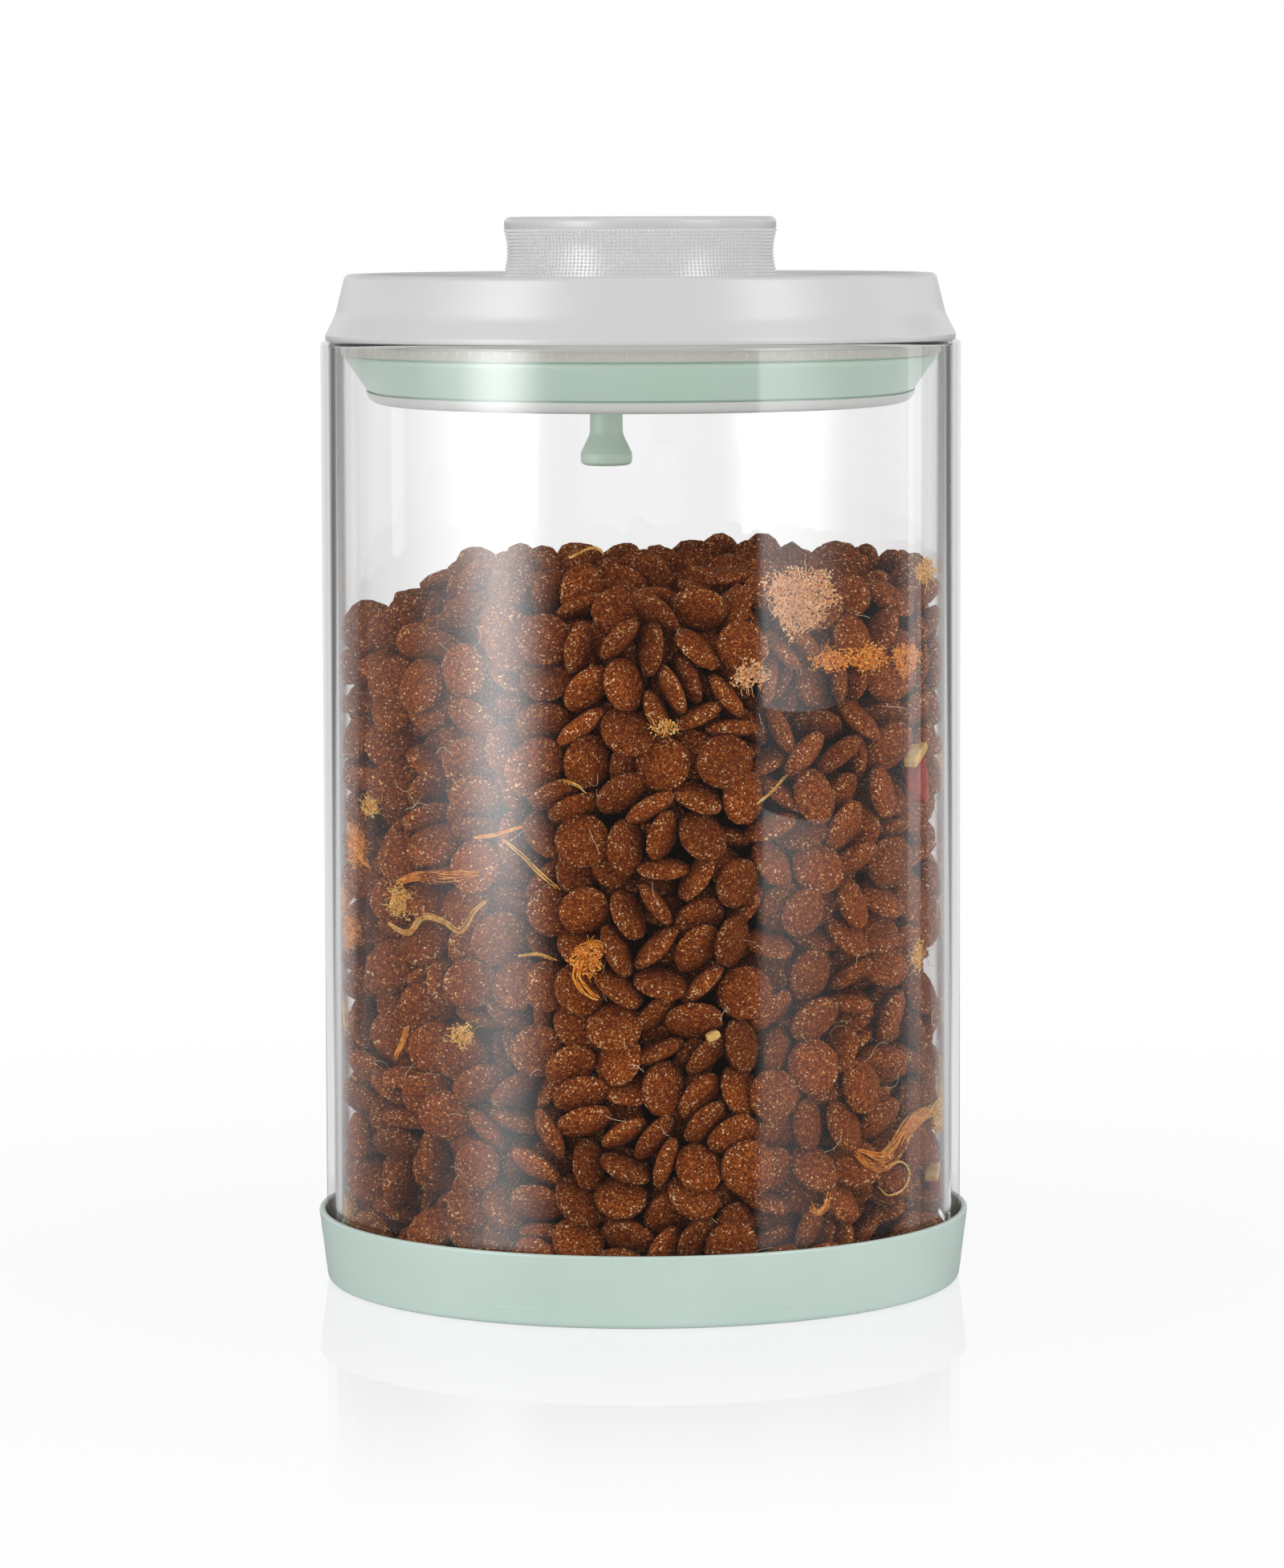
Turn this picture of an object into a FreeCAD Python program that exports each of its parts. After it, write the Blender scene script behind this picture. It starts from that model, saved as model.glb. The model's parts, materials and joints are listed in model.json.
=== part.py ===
# Pet food storage jar: a glass cylinder full of kibble that stands in a silicone tray and is
# closed by a lid whose push button lifts a plate and so squeezes a silicone ring against the
# glass. Millimetres. The jar stands on Z = 0, its axis is the Z axis and the front is -Y.
# The button is modelled raised, with the silicone ring hanging as an open cone.

import FreeCAD, Part
import math
import os

Vector = FreeCAD.Vector
origin = Vector(0, 0, 0)
up = Vector(0, 0, 1)
across = Vector(0, 1, 0)

# Glass cylinder
glass_radius = 60.0
glass_wall = 2.6
glass_floor = 4.0
glass_height = 175.0
glass_heel_round = 8.0
glass_rim_round = 0.8

# Heap of kibble that the glass holds
heap_play = 0.3
heap_below_rim = 39.5
heap_peak_x = 12.0
heap_dome = 200.0

# Silicone tray under the glass
tray_floor = 2.5
tray_height = 13.6
tray_clearance = 0.25
tray_wall = 1.25
tray_foot_inset = 1.7
tray_edge_round = 0.6

# Lid cover
lid_height = 12.2
lid_wall = 2.0
skirt_inset = 0.9
skirt_gap = 0.8
skirt_band = 1.3
flare_height = 5.2
flare_inset = 1.95
flare_round = 8.0
rim_inset = 3.75
rim_width = 2.5
rim_round = 1.1
well_depth = 3.7
well_floor = 1.8
rest_rib_inset = 1.4
rest_rib_width = 1.3
boss_embed = 0.9

# Push button
button_radius = 25.5
button_waist = 24.75
button_skirt = 26.3
button_rise = 10.6
button_travel = 10.0
button_top = 2.0
button_bore = 22.9
button_band = 2.2
button_top_round = 1.1
waist_below_top = 6.5
skirt_below_top = 13.3
button_hole_gap = 0.6
presser_width = 1.65
presser_chamfer = 0.8
lug_reach = 1.9
lug_height = 1.3
lug_gap = 0.3
lug_lift = 0.2
lug_angle = 24.0

# Rockers, their pins and the staples that carry the plate
lever_count = 3
lever_ratio = 3.0
lever_width = 6.0
lever_nose = 1.0
lever_heel = 1.3
lever_waist = 0.75
lever_root = 1.9
lever_hub = 2.8
pin_radius = 1.2
pin_proud = 0.2
pin_play = 0.05
pin_seat_play = 0.02
side_play = 0.3
ear_wall = 1.8
contact_gap = 0.1
staple_strip = 1.8
staple_bar = 1.6
staple_wall_gap = 2.6
staple_seat_play = 0.02
staple_boss_wall = 0.7
staple_boss_height = 2.5

# Lid core
neck_clearance = 0.9
neck_wall = 2.0
neck_top = 1.5
shelf_depth = 3.0
shelf_wall = 1.8
core_wall = 2.0
core_floor = 1.4
press_gap = 0.4
plate_gap = 0.45
hub_radius = 20.5
guide_wall = 1.9
guide_play = 0.08
guide_top_gap = 0.4
window_gap = 0.8
ear_embed = 0.7
slit_play = 0.4
slit_depth = 1.4
screw_head_play = 0.3

# Silicone ring, plate and pull plug
seal_inset = 0.9
seal_lip = 1.3
seal_wall = 3.6
seal_gap = 0.5
plate_floor = 1.4
plate_edge = 2.1
plate_inset = 4.0
plate_edge_width = 2.0
plate_edge_round = 1.6
plug_offset = -6.5
plug_radius = 3.1
plug_foot_radius = 4.85
plug_foot_flat = 3.4
plug_length = 12.7
plug_foot_height = 2.2
plug_foot_edge = 0.75
plug_flare = 3.6
plug_neck = 2.3
plug_head_radius = 3.4
plug_head = 1.5
plug_gap = 0.6

# Push sleeve, latch and spring
sleeve_radius = 5.0
sleeve_web = 3.0
sleeve_bore = 2.6
sleeve_length = 13.4
cam_depth = 1.3
cam_slot = 1.3
cam_shift = 1.0
cam_return_shift = 2.2
cam_seat_shift = 0.3
cam_seat_drop = 2.2
cam_return_drop = 1.1
follower_wire = 0.5
follower_arm = 8.5
follower_gap = 0.1
follower_seat = 1.2
spring_turns = 5
spring_steps = 16
spring_wire = 0.7
spring_gap = 0.55
spring_sides = 6

# How far a cut runs past what it cuts
overcut = 1.0

# Screws
screw_radius = 1.25
screw_head_radius = 2.4
screw_head = 1.8
screw_play = 0.05
slot_width = 0.6
slot_depth = 0.8
screw_circle = 36.0
screw_length = 9.0
screw_boss_wall = 1.9
screw_post_height = 4.3
screw_seat = 2.4
button_screw_radius = 1.5
button_screw_length = 5.6

# Heights
rim_z = tray_floor + glass_height
lid_top_z = rim_z + lid_height
well_z = lid_top_z - well_depth
well_under_z = well_z - well_floor
button_top_z = lid_top_z + button_rise
button_under_z = button_top_z - button_top
lug_top_z = well_under_z - lug_gap
presser_z = lug_top_z - lug_height - lug_lift
pivot_z = presser_z - contact_gap - lever_nose - button_travel / 2
plate_travel = button_travel / lever_ratio
core_top_z = presser_z - button_travel - press_gap
core_z = core_top_z - core_floor
plate_edge_z = core_z - plate_travel - plate_gap
plate_z = plate_edge_z - plate_edge
plate_top_z = plate_z + plate_floor
hub_z = plate_top_z + plate_travel + plug_head + plug_gap
hub_top_z = hub_z + core_floor
sleeve_z = hub_z + button_travel
sleeve_top_z = sleeve_z + sleeve_length
shelf_z = rim_z - shelf_depth
post_z = core_top_z + screw_post_height
follower_z = hub_top_z + follower_seat

# Radii
neck_radius = glass_radius - glass_wall - neck_clearance
seal_radius = neck_radius - seal_inset
core_radius = seal_radius - seal_wall
core_bore = core_radius - core_wall
plate_radius = seal_radius - plate_inset
guide_bore = sleeve_radius + guide_play
guide_radius = guide_bore + guide_wall
presser_radius = button_bore + presser_width
nose_radius = presser_radius - lever_waist
staple_radius = core_bore - staple_wall_gap
lever_reach = staple_radius - nose_radius
lever_inner = lever_reach * lever_ratio / (lever_ratio + 1)
pivot_radius = nose_radius + lever_inner
staple_z = pivot_z - plate_travel / 2 + lever_heel + contact_gap
ear_gap = lever_width / 2 + side_play
staple_out = ear_gap + staple_bar

lever_angles = [index * 360 / lever_count for index in range(lever_count)]
screw_angles = [angle + 180 / lever_count for angle in lever_angles]


def at(radius, height):
    return Vector(radius, 0, height)


def arc_points(start, middle, end, flats):
    return Part.Arc(start, middle, end).toShape().discretize(Number=flats + 1)


def rounded(before, corner, after, rounding, flats):
    back = (before - corner).normalize()
    ahead = (after - corner).normalize()
    half = back.getAngle(ahead) / 2
    setback = rounding / math.tan(half)
    centre = corner + (back + ahead).normalize() * (rounding / math.sin(half))
    middle = centre + (corner - centre).normalize() * rounding
    return arc_points(corner + back * setback, middle, corner + ahead * setback, flats)


# A solid of revolution from its corners, each (radius, height). A third value rounds the
# corner off, and a fourth says in how many flats.
def turned(corners):
    points = []
    for index, corner in enumerate(corners):
        place = at(corner[0], corner[1])
        if len(corner) == 2:
            points.append(place)
            continue
        before = corners[index - 1]
        after = corners[(index + 1) % len(corners)]
        flats = corner[3] if len(corner) == 4 else 1
        points += rounded(at(before[0], before[1]), place, at(after[0], after[1]), corner[2], flats)
    return Part.Face(Part.makePolygon(points + [points[0]])).revolve(origin, up, 360)


def cylinder(radius, low, high, x=0.0, y=0.0):
    return Part.makeCylinder(radius, high - low, Vector(x, y, low))


def block(low, high):
    size = high - low
    return Part.makeBox(size.x, size.y, size.z, low)


def cross_bar(radius, half_length, x, z):
    return Part.makeCylinder(radius, 2 * half_length, Vector(x, -half_length, z), across)


def turn_to(shape, angle):
    placed = shape.copy()
    placed.rotate(origin, up, angle)
    return placed


def all_round(shape, angles):
    return [turn_to(shape, angle) for angle in angles]


def radial_rod(radius, inner, outer, z):
    return Part.makeCylinder(radius, outer - inner, Vector(inner, 0, z), Vector(1, 0, 0))


def save(name, shape):
    clean = shape.removeSplitter()
    if clean.Volume < 0:
        clean.reverse()
    print(name, "solids", len(clean.Solids), "volume", round(clean.Volume, 1), "valid", clean.isValid())
    clean.exportStep("parts/" + name + ".step")


def make_base_tray():
    bore = glass_radius + tray_clearance
    rim = bore + tray_wall
    return turned([
        (0, 0),
        (rim - tray_foot_inset, 0, tray_edge_round),
        (rim, tray_height),
        (bore, tray_height),
        (bore, tray_floor),
        (0, tray_floor),
    ])


def make_glass_jar():
    bore = glass_radius - glass_wall
    floor_z = tray_floor + glass_floor
    return turned([
        (0, tray_floor),
        (glass_radius, tray_floor, glass_heel_round, 2),
        (glass_radius, rim_z, glass_rim_round),
        (bore, rim_z, glass_rim_round),
        (bore, floor_z, glass_heel_round - glass_wall),
        (0, floor_z),
    ])


# The food's outer shape: it fills the glass to the wall and is mounded on top
def make_kibble_heap():
    side = glass_radius - glass_wall - heap_play
    floor_z = tray_floor + glass_floor
    peak_z = rim_z - heap_below_rim
    fill = turned([
        (0, floor_z),
        (side, floor_z, glass_heel_round - glass_wall),
        (side, peak_z),
        (0, peak_z),
    ])
    dome = Part.makeSphere(heap_dome, Vector(heap_peak_x, 0, peak_z - heap_dome), across)
    return fill.common(dome)


def make_lid_cover():
    skirt = glass_radius - skirt_inset
    flare = skirt - flare_inset
    rim = skirt - rim_inset
    well = rim - rim_width
    rib = glass_radius - rest_rib_inset
    skirt_z = rim_z + skirt_gap
    band_z = skirt_z + skirt_band
    flare_z = skirt_z + flare_height
    shell = turned([
        (rib - rest_rib_width, rim_z),
        (rib, rim_z),
        (rib, skirt_z),
        (skirt, skirt_z),
        (skirt, band_z),
        (flare, flare_z, flare_round),
        (rim, lid_top_z, rim_round),
        (well, lid_top_z),
        (well, well_z),
        (button_skirt + button_hole_gap, well_z),
        (button_skirt + button_hole_gap, well_under_z),
        (flare - lid_wall, well_under_z),
        (flare - lid_wall, flare_z),
    ])
    boss = cylinder(screw_radius + screw_boss_wall, post_z, well_under_z + boss_embed, screw_circle)
    pilot = cylinder(screw_radius + screw_play, post_z, well_under_z + boss_embed, screw_circle)
    shell = shell.fuse(all_round(boss, screw_angles))
    return shell.cut(all_round(pilot, screw_angles))


def make_lid_core():
    neck_bore = neck_radius - neck_wall
    body = turned([
        (guide_bore, hub_z),
        (hub_radius, hub_z),
        (hub_radius, core_z),
        (core_radius, core_z),
        (core_radius, shelf_z),
        (neck_radius, shelf_z),
        (neck_radius, rim_z + neck_top),
        (neck_bore, rim_z + neck_top),
        (neck_bore, shelf_z + shelf_wall),
        (core_bore, shelf_z + shelf_wall),
        (core_bore, core_top_z),
        (hub_radius + core_floor, core_top_z),
        (hub_radius, hub_top_z),
        (guide_radius, hub_top_z),
        (guide_radius, button_under_z - button_travel - guide_top_gap),
        (guide_bore, button_under_z - button_travel - guide_top_gap),
    ])
    ear_out = ear_gap + ear_wall
    ear = block(Vector(pivot_radius - lever_hub, ear_gap, core_top_z - ear_embed),
                Vector(pivot_radius + lever_hub, ear_out, pivot_z))
    hinge = Vector(pivot_radius, ear_gap, pivot_z)
    ear = ear.fuse(Part.makeCylinder(lever_hub, ear_wall, hinge, across))
    ears = ear.fuse(ear.mirror(origin, across))
    post = cylinder(screw_head_radius + screw_boss_wall, core_z, post_z, screw_circle)
    body = body.fuse(all_round(ears, lever_angles) + all_round(post, screw_angles))

    pin_hole = cross_bar(pin_radius + pin_seat_play, ear_out + overcut, pivot_radius, pivot_z)
    arm_window = block(Vector(hub_radius + core_floor + slit_play, -ear_gap, core_z),
                       Vector(pivot_radius - lever_inner / 2, ear_gap, core_top_z))
    window_half = staple_out + staple_boss_wall + window_gap
    window_in = staple_radius - staple_strip / 2 - staple_boss_wall - window_gap
    staple_window = block(Vector(window_in, -window_half, core_z),
                          Vector(core_bore, window_half, core_top_z))
    staple_window = staple_window.common(cylinder(core_bore, core_z, core_top_z))
    recess = cylinder(screw_head_radius + screw_head_play, core_z, post_z - screw_seat, screw_circle)
    screw_hole = cylinder(screw_radius + screw_play, core_z, post_z, screw_circle)
    slit_half = cam_shift + follower_wire + slit_play
    follower_slit = block(Vector(0, -slit_half, follower_z + follower_arm - slit_depth),
                          Vector(guide_radius + overcut, slit_half, button_top_z))
    follower_hole = radial_rod(follower_wire + pin_play, 0, guide_radius + overcut, follower_z)
    cuts = all_round(pin_hole, lever_angles) + all_round(arm_window, lever_angles)
    cuts += all_round(staple_window, lever_angles)
    cuts += all_round(recess, screw_angles) + all_round(screw_hole, screw_angles)
    return body.cut(cuts + [follower_slit, follower_hole])


def make_core_screws():
    head_z = post_z - screw_seat - screw_head
    shank = cylinder(screw_radius, head_z, post_z - screw_seat + screw_length, screw_circle)
    head = cylinder(screw_head_radius, head_z, head_z + screw_head, screw_circle)
    slot = block(Vector(screw_circle - screw_head_radius, -slot_width / 2, head_z),
                 Vector(screw_circle + screw_head_radius, slot_width / 2, head_z + slot_depth))
    return Part.makeCompound(all_round(head.fuse(shank).cut(slot), screw_angles))


def make_lever():
    nose = at(nose_radius, pivot_z + button_travel / 2)
    pivot = at(pivot_radius, pivot_z)
    heel = at(staple_radius, pivot_z - plate_travel / 2)
    along = (heel - nose).normalize()
    thick = Vector(-along.z, 0, along.x)
    side = across * (lever_width / 2)
    arm = Part.makePolygon([
        nose + thick * lever_waist - side,
        pivot + thick * lever_root - side,
        heel + thick * lever_waist - side,
        heel - thick * lever_waist - side,
        pivot - thick * lever_root - side,
        nose - thick * lever_waist - side,
        nose + thick * lever_waist - side,
    ])
    arm = Part.Face(arm).extrude(side * 2)
    rounds = [
        cross_bar(lever_nose, lever_width / 2, nose.x, nose.z),
        cross_bar(lever_heel, lever_width / 2, heel.x, heel.z),
        cross_bar(lever_hub, lever_width / 2, pivot.x, pivot.z),
    ]
    bore = cross_bar(pin_radius + pin_play, lever_width, pivot.x, pivot.z)
    return arm.fuse(rounds).cut(bore)


def make_lever_pin():
    reach = ear_gap + ear_wall
    return cross_bar(pin_radius, reach + pin_proud, pivot_radius, pivot_z)


def make_lift_staple():
    half = staple_strip / 2
    outside = block(Vector(staple_radius - half, -staple_out, plate_top_z),
                    Vector(staple_radius + half, staple_out, staple_z + staple_bar))
    inside = block(Vector(staple_radius - half, -ear_gap, plate_top_z),
                   Vector(staple_radius + half, ear_gap, staple_z))
    return outside.cut(inside)


def make_seal_ring():
    return turned([
        (core_radius, shelf_z),
        (core_radius, core_z - seal_gap),
        (plate_radius - plate_edge_width, plate_edge_z + seal_gap),
        (plate_radius - plate_edge_width, plate_edge_z),
        (plate_radius, plate_edge_z),
        (seal_radius, shelf_z - seal_lip),
        (seal_radius, shelf_z),
    ])


def make_pressure_plate():
    dish = turned([
        (0, plate_z),
        (plate_radius - plate_edge_width, plate_z, plate_edge_round),
        (plate_radius, plate_edge_z),
        (plate_radius - plate_edge_width, plate_edge_z),
        (plate_radius - plate_edge_width, plate_top_z),
        (0, plate_top_z),
    ])
    boss_half = staple_strip / 2 + staple_boss_wall
    boss_z = plate_top_z + staple_boss_height
    boss = block(Vector(staple_radius - boss_half, ear_gap - staple_boss_wall, plate_top_z),
                 Vector(staple_radius + boss_half, staple_out + staple_boss_wall, boss_z))
    boss = boss.fuse(boss.mirror(origin, across))
    socket_half = staple_strip / 2 + staple_seat_play
    socket = block(Vector(staple_radius - socket_half, ear_gap - staple_seat_play, plate_top_z),
                   Vector(staple_radius + socket_half, staple_out + staple_seat_play, staple_z))
    socket = socket.fuse(socket.mirror(origin, across))
    plug_hole = cylinder(plug_neck + pin_play, plate_z, plate_top_z, plug_offset)
    dish = dish.fuse(all_round(boss, lever_angles))
    return dish.cut(all_round(socket, lever_angles) + [plug_hole])


def make_pull_plug():
    foot_z = plate_z - plug_length
    plug = turned([
        (0, foot_z),
        (plug_foot_flat, foot_z),
        (plug_foot_radius, foot_z + plug_foot_edge),
        (plug_foot_radius, foot_z + plug_foot_height),
        (plug_radius, foot_z + plug_foot_height + plug_flare),
        (plug_radius, plate_z),
        (plug_neck, plate_z),
        (plug_neck, plate_top_z),
        (plug_head_radius, plate_top_z),
        (plug_head_radius, plate_top_z + plug_head),
        (0, plate_top_z + plug_head),
    ])
    plug.translate(Vector(plug_offset, 0, 0))
    return plug


def make_button_cap():
    cap = turned([
        (0, button_top_z),
        (button_radius, button_top_z, button_top_round),
        (button_radius, button_top_z - button_band),
        (button_waist, button_top_z - waist_below_top),
        (button_skirt, button_top_z - skirt_below_top),
        (button_skirt, presser_z + presser_chamfer),
        (presser_radius, presser_z),
        (button_bore, presser_z),
        (button_bore, button_under_z),
        (sleeve_radius - guide_play, button_under_z),
        (sleeve_radius - guide_play, sleeve_top_z),
        (0, sleeve_top_z),
    ])
    lug_face = turned([
        (presser_radius, lug_top_z - lug_height),
        (button_skirt + lug_reach, lug_top_z - lug_height),
        (button_skirt + lug_reach, lug_top_z),
        (presser_radius, lug_top_z),
    ])
    wedge = Part.makeCylinder(glass_radius, lug_top_z - presser_z, at(0, presser_z), up, lug_angle)
    lug = turn_to(lug_face.common(wedge), -lug_angle / 2)
    screw_hole = cylinder(button_screw_radius + screw_play, sleeve_top_z, button_under_z)
    return cap.fuse(all_round(lug, screw_angles)).cut(screw_hole)


def cam_slot_along(stops):
    half = cam_slot / 2
    low = sleeve_radius - cam_depth
    pieces = []
    for start, end in zip(stops, stops[1:]):
        run = end - start
        aside = Vector(0, -run.z, run.y).normalize() * half
        corners = [start + aside, end + aside, end - aside, start - aside, start + aside]
        slab = Part.Face(Part.makePolygon(corners)).extrude(Vector(cam_depth * 2, 0, 0))
        pieces.append(slab)
    for stop in stops:
        pieces.append(Part.makeCylinder(half, cam_depth * 2, stop, Vector(1, 0, 0)))
    track = pieces[0].fuse(pieces[1:])
    track.translate(Vector(low, 0, 0))
    return track


def make_push_sleeve():
    sleeve = cylinder(sleeve_radius, sleeve_z, sleeve_top_z)
    counterbore = cylinder(sleeve_bore, sleeve_z, sleeve_top_z - sleeve_web)
    hole = cylinder(button_screw_radius + screw_play, sleeve_z, sleeve_top_z)
    start_z = follower_z + follower_arm
    end_z = start_z + button_travel
    way_in = [Vector(0, -cam_shift, start_z), Vector(0, cam_shift, end_z)]
    way_back = [
        Vector(0, cam_shift, end_z),
        Vector(0, -cam_seat_shift, end_z - cam_seat_drop),
        Vector(0, -cam_return_shift, end_z - cam_return_drop),
        Vector(0, -cam_return_shift, end_z - button_travel / 2),
        Vector(0, -cam_shift, start_z),
    ]
    return sleeve.cut([counterbore, hole, cam_slot_along(way_in), cam_slot_along(way_back)])


def make_button_screw():
    seat_z = sleeve_top_z - sleeve_web
    head_z = seat_z - screw_head
    head = cylinder(screw_head_radius, head_z, seat_z)
    shank = cylinder(button_screw_radius, seat_z, seat_z + button_screw_length)
    slot = block(Vector(-screw_head_radius, -slot_width / 2, head_z),
                 Vector(screw_head_radius, slot_width / 2, head_z + slot_depth))
    return head.fuse(shank).cut(slot)


def make_latch_follower():
    shank_radius = guide_radius + follower_gap + follower_wire
    swing = math.degrees(math.asin(cam_shift / follower_arm))
    tip_z = follower_z + follower_arm
    rod = cylinder(follower_wire, follower_z - follower_wire, tip_z + follower_wire, shank_radius)
    rod = rod.fuse([
        radial_rod(follower_wire, guide_bore + follower_gap, shank_radius, follower_z),
        radial_rod(follower_wire, sleeve_radius - cam_depth + follower_gap, shank_radius, tip_z),
    ])
    rod.rotate(Vector(0, 0, follower_z), Vector(1, 0, 0), swing)
    return rod


def make_return_spring():
    coil_radius = guide_radius + follower_gap + 2 * follower_wire + spring_gap + spring_wire
    steps = spring_turns * spring_steps
    climb = button_under_z - hub_top_z - 2 * spring_wire
    line = []
    for step in range(steps + 1):
        turn = 2 * math.pi * step / spring_steps
        rise = hub_top_z + spring_wire + climb * step / steps
        line.append(Vector(coil_radius * math.cos(turn), coil_radius * math.sin(turn), rise))
    side = Vector(1, 0, 0)
    other = (line[1] - line[0]).cross(side).normalize()
    section = []
    for corner in range(spring_sides + 1):
        turn = 2 * math.pi * corner / spring_sides
        section.append(line[0] + (side * math.cos(turn) + other * math.sin(turn)) * spring_wire)
    mitred = 1
    return Part.makePolygon(line).makePipeShell([Part.makePolygon(section)], True, False, mitred)


os.makedirs("parts", exist_ok=True)
save("base_tray", make_base_tray())
save("glass_jar", make_glass_jar())
save("kibble_heap", make_kibble_heap())
save("lid_cover", make_lid_cover())
save("lid_core", make_lid_core())
save("core_screws", make_core_screws())
for number, angle in enumerate(lever_angles, start=1):
    save("lever_" + str(number), turn_to(make_lever(), angle))
    save("lever_pin_" + str(number), turn_to(make_lever_pin(), angle))
    save("lift_staple_" + str(number), turn_to(make_lift_staple(), angle))
save("seal_ring", make_seal_ring())
save("pressure_plate", make_pressure_plate())
save("pull_plug", make_pull_plug())
save("button_cap", make_button_cap())
save("push_sleeve", make_push_sleeve())
save("button_screw", make_button_screw())
save("latch_follower", make_latch_follower())
save("return_spring", make_return_spring())
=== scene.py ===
import json
import math
from functools import lru_cache, partial

import bmesh
import bpy
import numpy as np
from mathutils import Matrix, Vector

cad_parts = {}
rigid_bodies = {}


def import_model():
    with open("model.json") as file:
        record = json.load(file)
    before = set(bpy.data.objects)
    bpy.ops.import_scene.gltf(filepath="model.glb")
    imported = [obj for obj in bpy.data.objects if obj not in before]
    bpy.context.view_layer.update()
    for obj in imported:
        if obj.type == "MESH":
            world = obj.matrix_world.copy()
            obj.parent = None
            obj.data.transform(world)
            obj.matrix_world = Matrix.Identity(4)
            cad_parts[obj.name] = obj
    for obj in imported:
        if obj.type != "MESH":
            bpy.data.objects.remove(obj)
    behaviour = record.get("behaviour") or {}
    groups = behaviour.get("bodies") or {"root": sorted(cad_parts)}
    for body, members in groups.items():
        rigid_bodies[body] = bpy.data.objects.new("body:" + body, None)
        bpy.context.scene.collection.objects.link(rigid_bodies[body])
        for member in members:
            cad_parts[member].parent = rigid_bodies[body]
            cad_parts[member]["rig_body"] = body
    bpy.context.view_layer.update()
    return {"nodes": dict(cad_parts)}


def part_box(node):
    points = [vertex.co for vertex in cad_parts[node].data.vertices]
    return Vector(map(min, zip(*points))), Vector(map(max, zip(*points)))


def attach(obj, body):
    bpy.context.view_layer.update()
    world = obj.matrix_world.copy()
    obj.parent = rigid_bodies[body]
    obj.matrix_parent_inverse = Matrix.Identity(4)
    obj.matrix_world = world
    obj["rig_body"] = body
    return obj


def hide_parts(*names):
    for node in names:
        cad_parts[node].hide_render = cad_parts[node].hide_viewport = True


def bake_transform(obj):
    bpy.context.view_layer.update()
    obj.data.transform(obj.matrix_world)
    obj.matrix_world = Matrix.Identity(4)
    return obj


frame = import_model()

# Lengths in the dictionaries are millimetres and angles are degrees, unless a note says otherwise.
# The frame is in metres, so mm() and toMm() go between the two.


def mm(value):
    return value * 0.001


def toMm(value):
    return value * 1000.0


@lru_cache(maxsize=None)
def outerRadius(node):
    low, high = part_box(node)
    return toMm(high.x - low.x) / 2


@lru_cache(maxsize=None)
def heights(node):
    low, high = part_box(node)
    return toMm(low.z), toMm(high.z)


# Node trees

smooth = {"interpolation_type": "SMOOTHSTEP"}


def addNode(tree, kind, *inputs, **settings):
    # inputs go to the node's sockets in order, or by name or number from one dictionary.
    # A node given as an input stands for its first output. "ShaderNode" may be left off the kind.
    node = tree.nodes.new(kind if "Node" in kind else "ShaderNode" + kind)
    for name, value in settings.items():
        setattr(node, name, value)
    named = bool(inputs) and isinstance(inputs[0], dict)
    for key, value in inputs[0].items() if named else enumerate(inputs):
        if isinstance(value, bpy.types.Node):
            value = value.outputs[0]
        if isinstance(value, bpy.types.NodeSocket):
            tree.links.new(value, node.inputs[key])
        else:
            node.inputs[key].default_value = value
    return node


def srgb(code, alpha=1.0):
    channels = [int(code[i:i + 2], 16) / 255 for i in (1, 3, 5)]
    linear = [c / 12.92 if c <= 0.04045 else ((c + 0.055) / 1.055) ** 2.4 for c in channels]
    return (*linear, alpha)


def newMaterial(name):
    material = bpy.data.materials.new(name)
    material.use_nodes = True
    tree = material.node_tree
    tree.nodes.clear()
    return material, tree, addNode(tree, "TexCoord").outputs["Object"]


def setStops(ramp, stops):
    # stops are (position, colour) from the lowest to the highest
    elements = ramp.color_ramp.elements
    for element, (position, code) in zip(elements, (stops[0], stops[-1])):
        element.position = position
        element.color = srgb(code)
    for position, code in stops[1:-1]:
        elements.new(position).color = srgb(code)


def grainBump(tree, coords, grain, depth):
    # grain is the size of one bump in mm, depth its height in mm
    noise = addNode(tree, "TexNoise", {"Vector": coords, "Scale": 1 / mm(grain), "Detail": 2.0})
    return addNode(tree, "Bump", {"Strength": 1.0, "Distance": mm(depth), "Height": noise})


def grainedMaterial(name, codes, patch, grain, depth, finish, spread=0.2, noise=None):
    # close colours that drift from patch to patch over a fine grain, and the shader's own values in finish
    material, tree, coords = newMaterial(name)
    drift = addNode(tree, "TexNoise", {
        "Vector": coords, "Scale": 1 / mm(patch), **(noise or {"Detail": 3.0})})
    ramp = addNode(tree, "ValToRGB", drift)
    step = 2 * spread / (len(codes) - 1)
    setStops(ramp, [(0.5 - spread + step * number, code) for number, code in enumerate(codes)])
    shader = addNode(tree, "BsdfPrincipled", {
        "Base Color": ramp, "Normal": grainBump(tree, coords, grain, depth), **finish})
    addNode(tree, "OutputMaterial", shader)
    return material


def mouldedPlastic(name, dark, light, roughness, ior=1.5):
    # an injection moulding off a fine eroded tool: even colour, soft broad highlights
    return grainedMaterial(name, (dark, light), 45, 0.4, 0.012, {"Roughness": roughness, "IOR": ior})


def siliconeRubber(name, dark, light):
    # compression moulded silicone: powdery, with a faint bloom where it turns away
    return grainedMaterial(name, (dark, light), 30, 0.5, 0.015, {
        "Roughness": 0.34, "IOR": 1.45, "Sheen Weight": 0.12, "Sheen Roughness": 0.5})


def brightSteel(name):
    # drawn stainless wire and turned pins: bright, with a fine grain
    finish = {"Metallic": 1.0, "Roughness": 0.28}
    return grainedMaterial(name, ("#A8A9AB", "#C4C5C7"), 3, 0.15, 0.003, finish)


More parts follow.
